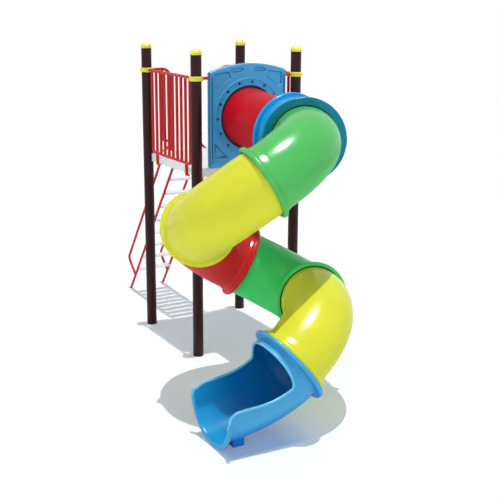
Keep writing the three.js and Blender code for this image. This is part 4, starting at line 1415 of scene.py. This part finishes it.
# %% Stringers and handrails
LADDER_RUN, LADDER_LUG, LADDER_LUG_HALF, LUG_ROUND = 0.7237, 0.006, 0.065, 0.0012
LADDER_TOP_DROP, FIRST_TREAD, TREADS = 0.075, 0.322, 9
TREAD_DEPTH, TREAD_THICKNESS, TREAD_FOLD = 0.100, 0.024, 0.003
HANDRAIL_OFFSET, HANDRAIL_BEND, HANDRAIL_END, HANDRAIL_FOOT = 0.350, 0.060, 0.412, 0.220
HANDRAIL_TOP_RISE, HANDRAIL_TOP_DROP = 0.010, 0.095
STRINGER_PLACE, LADDER_SHIFT = 0.233364, -0.0175

ladder_top = tower.y + deck_edge + TOUCH
ladder_high = deck_top - LADDER_TOP_DROP
ladder_foot = ladder_top + LADDER_LUG + LADDER_RUN * ladder_high
stringer_end = ladder_top + LADDER_LUG / 2
top_z = (ladder_foot - stringer_end) / LADDER_RUN


def stringer_at(height):
    return ladder_foot - LADDER_RUN * height


for side, name in ((-1, "left"), (1, "right")):
    x = tower.x + side * STRINGER_PLACE + LADDER_SHIFT
    line = [(x, stringer_at(0), 0), (x, stringer_at(top_z), top_z)]
    ends, faces = bar(line, RAIL_RADIUS)
    foot = ends[:, 2] < 0.1
    ends[foot, 1] += LADDER_RUN * ends[foot, 2]
    ends[foot, 2] = 0
    ends[~foot, 2] += (ends[~foot, 1] - stringer_end) / LADDER_RUN
    ends[~foot, 1] = stringer_end
    lug_low = (x - RAIL_RADIUS, ladder_top, ladder_high - LADDER_LUG_HALF)
    lug_high = (x + RAIL_RADIUS, ladder_top + LADDER_LUG, ladder_high + LADDER_LUG_HALF)
    shapes = [(ends, faces), soft_block(lug_low, lug_high, LUG_ROUND)]
    made(f"stringer_{name}_tube", shapes, rail_coat, f"stringer_{name}")
    high, joint = deck_top + HANDRAIL_TOP_RISE, deck_top - HANDRAIL_TOP_DROP
    line = [
        (x, stringer_at(joint), joint),
        (x, stringer_at(high) + HANDRAIL_OFFSET, high),
        (x, stringer_at(HANDRAIL_END) + HANDRAIL_OFFSET, HANDRAIL_END),
        (x, stringer_at(HANDRAIL_FOOT), HANDRAIL_FOOT),
    ]
    tube = bar(softened(line, HANDRAIL_BEND, steps=12), RAIL_RADIUS)
    made(f"handrail_{name}_tube", [tube], rail_coat, f"handrail_{name}")
print("ladder foot", round(ladder_foot - tower.y, 4), "rails up to", round(high, 3))

# %% [markdown]
# ### The treads
# Nine treads of folded sheet stand between the stringers at an equal pitch, with the same
# coat and drain holes as the deck. The pitch comes from the first tread and the deck.

# %% Treads
reach = Vector((STRINGER_PLACE - RAIL_RADIUS - TOUCH, TREAD_DEPTH / 2, TREAD_THICKNESS / 2))
tread_pitch = (deck_top - FIRST_TREAD) / TREADS
for index in range(TREADS):
    height = FIRST_TREAD + tread_pitch * index
    middle = Vector((tower.x + LADDER_SHIFT, stringer_at(height), height))
    step = soft_block(middle - reach, middle + reach, TREAD_FOLD)
    made(f"tread_{index + 1}_folded", [step], tread_coat, f"tread_{index + 1}")
print("tread pitch", round(tread_pitch, 4))

# %% [markdown]
# ## The floor
# The slide stands on a white studio floor that shows little but its shadow. Plain white
# paint would look grey in places, so rays that come straight from the camera, or by way of a
# reflection, see a share of plain white light mixed in. Further away it becomes all white
# and joins the background. Under the chute the light that reaches the floor has come through
# and off blue plastic, so the paint there is bluish, in a patch that follows the chute.


# %% The floor
def looked_at(finish):
    """1 for rays from the camera and for those that reflections and glass send on."""
    kinds = ("Is Camera Ray", "Is Glossy Ray", "Is Transmission Ray")
    camera, glossy, through = (
        finish.node("ShaderNodeLightPath", output=kind) for kind in kinds
    )
    return camera + glossy + through


FLOOR_REACH, FLOOR_WHITE_SHARE, FLOOR_PAINT = 60.0, 0.19, (0.94, 0.97, 1.0, 1)
CHUTE_TINT, TINT_SHARE = seen(36, 178, 236), 0.85
TINT_WIDTH, TINT_START, TINT_END = (0.075, 0.115), (-0.05, 0.08), (0.60, 0.95)
ground = Finish("white_studio_floor")
distance = ground.node(
    "ShaderNodeVectorMath", {"operation": "LENGTH"}, {0: places(ground)}, output="Value"
)
far = ramp(ground, distance * (1 / FLOOR_REACH), 0.10, 0.45)
share = looked_at(ground) * (FLOOR_WHITE_SHARE + (1 - FLOOR_WHITE_SHARE) * far)
tip_middle, tip_facing = chute_tip
ahead = Vector((tip_facing.x, tip_facing.y, 0)).normalized()
to_tip = ground.node("ShaderNodeVectorMath", {"operation": "SUBTRACT"},
                     {0: places(ground), 1: tip_middle})
behind = measured(ground, to_tip, -ahead)
beside = measured(ground, to_tip, Vector((-ahead.y, ahead.x, 0)))
under = (1 - ramp(ground, beside * beside, *TINT_WIDTH)) * ramp(ground, behind, *TINT_START)
under = under * (1 - ramp(ground, behind, *TINT_END))
shade = ground.mix(under * TINT_SHARE, FLOOR_PAINT, CHUTE_TINT)
paint = ground.node("ShaderNodeBsdfDiffuse", None, {"Color": shade})
white = ground.node("ShaderNodeEmission", None, {"Color": (1, 1, 1, 1), "Strength": 1})

floor_mesh = bpy.data.meshes.new("studio_floor")
far_corners = [
    (x * FLOOR_REACH, y * FLOOR_REACH, 0) for x, y in ((-1, -1), (1, -1), (1, 1), (-1, 1))
]
floor_mesh.from_pydata(far_corners, [], [(0, 1, 2, 3)])
floor_mesh.materials.append(
    ground.close(ground.node("ShaderNodeMixShader", None, {0: share, 1: paint, 2: white}))
)
placed_in_scene("studio_floor", floor_mesh)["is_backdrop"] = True
print("floor", 2 * FLOOR_REACH, "m wide")

# %% [markdown]
# ## Light
# The photograph is lit from almost straight above, with white all round. The shadow of each
# post ends only a hand's width from its foot, and every highlight on the tube lies where the
# plastic mirrors the zenith. A small sun gives those crisp shadows. The highlights are wider
# than such a sun would draw, so a broader lamp in the same place is seen by gloss alone. A
# bluish world, brighter at the horizon, and a wide soft lamp in front fill the rest.

# %% World and lamps
HORIZON_FILL, ZENITH_FILL, SKY_TINT = 0.80, 0.20, (0.80, 0.92, 1.0, 1)
SUN_FROM, FRONT_FROM, LAMP_AWAY = (0.035, -0.010, 1.0), (-0.45, -0.83, 0.40), 8

studio = Finish("white_studio", world=True)
height = part(studio, studio.node("ShaderNodeTexCoord", output="Generated"), "Z")
strength = HORIZON_FILL - (HORIZON_FILL - ZENITH_FILL) * ramp(studio, height, 0.0, 1.0)
fill = studio.node("ShaderNodeBackground", None, {"Color": SKY_TINT, "Strength": strength})
shown = studio.node("ShaderNodeBackground", None, {"Color": (1, 1, 1, 1), "Strength": 1})
sky = studio.node("ShaderNodeMixShader", None, {0: looked_at(studio), 1: fill, 2: shown})
bpy.context.scene.world = studio.close(sky)


def far_lamp(name, strength, width, tint, towards, lights=True, shines=True):
    """A lamp as far as the sun. width is how many degrees of the sky it fills."""
    towards = Vector(towards)
    light = bpy.data.lights.new(name, "SUN")
    light.energy, light.color, light.angle = strength, tint, math.radians(width)
    lamp = placed_in_scene(name, light)
    lamp.rotation_euler = towards.to_track_quat("Z", "Y").to_euler()
    lamp.location = tower + towards * LAMP_AWAY
    lamp.visible_diffuse, lamp.visible_glossy = lights, shines
    print(name, round(90 - math.degrees(towards.angle((0, 0, 1))), 1), "degrees up")


far_lamp("overhead_sun", 2.15, 0.8, (1.0, 0.98, 0.95), SUN_FROM, shines=False)
far_lamp("overhead_gloss", 12.0, 13.0, (1, 1, 1), SUN_FROM, lights=False)
far_lamp("front_fill", 0.66, 70.0, (1, 1, 1), FRONT_FROM, shines=False)

# %% [markdown]
# ## Camera
# The photograph's camera was worked out from the tower: its upright and level lines give
# the direction, and the known distance between the posts gives how far away it stood. It
# looks down by 15 degrees from a height of about four metres.

# %% Camera
CAMERA_YAW, CAMERA_PITCH, CAMERA_ROLL = 0.5305, 0.2659, 0.0061
CAMERA_FROM_TOWER = (-5.2497, -9.6351, 3.9673)
FOCAL_PIXELS, PHOTO_PIXELS, SENSOR = 978.717, 500, 36

lens = bpy.data.cameras.new("camera")
lens.sensor_width = SENSOR
lens.lens = FOCAL_PIXELS / PHOTO_PIXELS * SENSOR
camera = placed_in_scene("camera", lens)
camera.matrix_world = (
    Matrix.Translation(tower + Vector(CAMERA_FROM_TOWER))
    @ Matrix.Rotation(-CAMERA_YAW, 4, "Z")
    @ Matrix.Rotation(math.pi / 2 - CAMERA_PITCH, 4, "X")
    @ Matrix.Rotation(CAMERA_ROLL, 4, "Z")
)
bpy.context.scene.camera = camera
bpy.context.scene.view_settings.view_transform = "Standard"
print("lens", round(lens.lens, 2), "mm")

# %% [markdown]
# ## The sizes
# The dressed slide is meant to be as large as the imported one. The boxes round both are
# measured, and their sizes are printed one under the other.

# %% Sizes
bpy.context.view_layer.update()
look_low, look_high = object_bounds()
sizes = {
    "cad": [list(cad_low), list(cad_high)],
    "visual": [list(look_low), list(look_high)],
}
for key, (low, high) in sizes.items():
    print(key, [round(b - a, 4) for a, b in zip(low, high)])
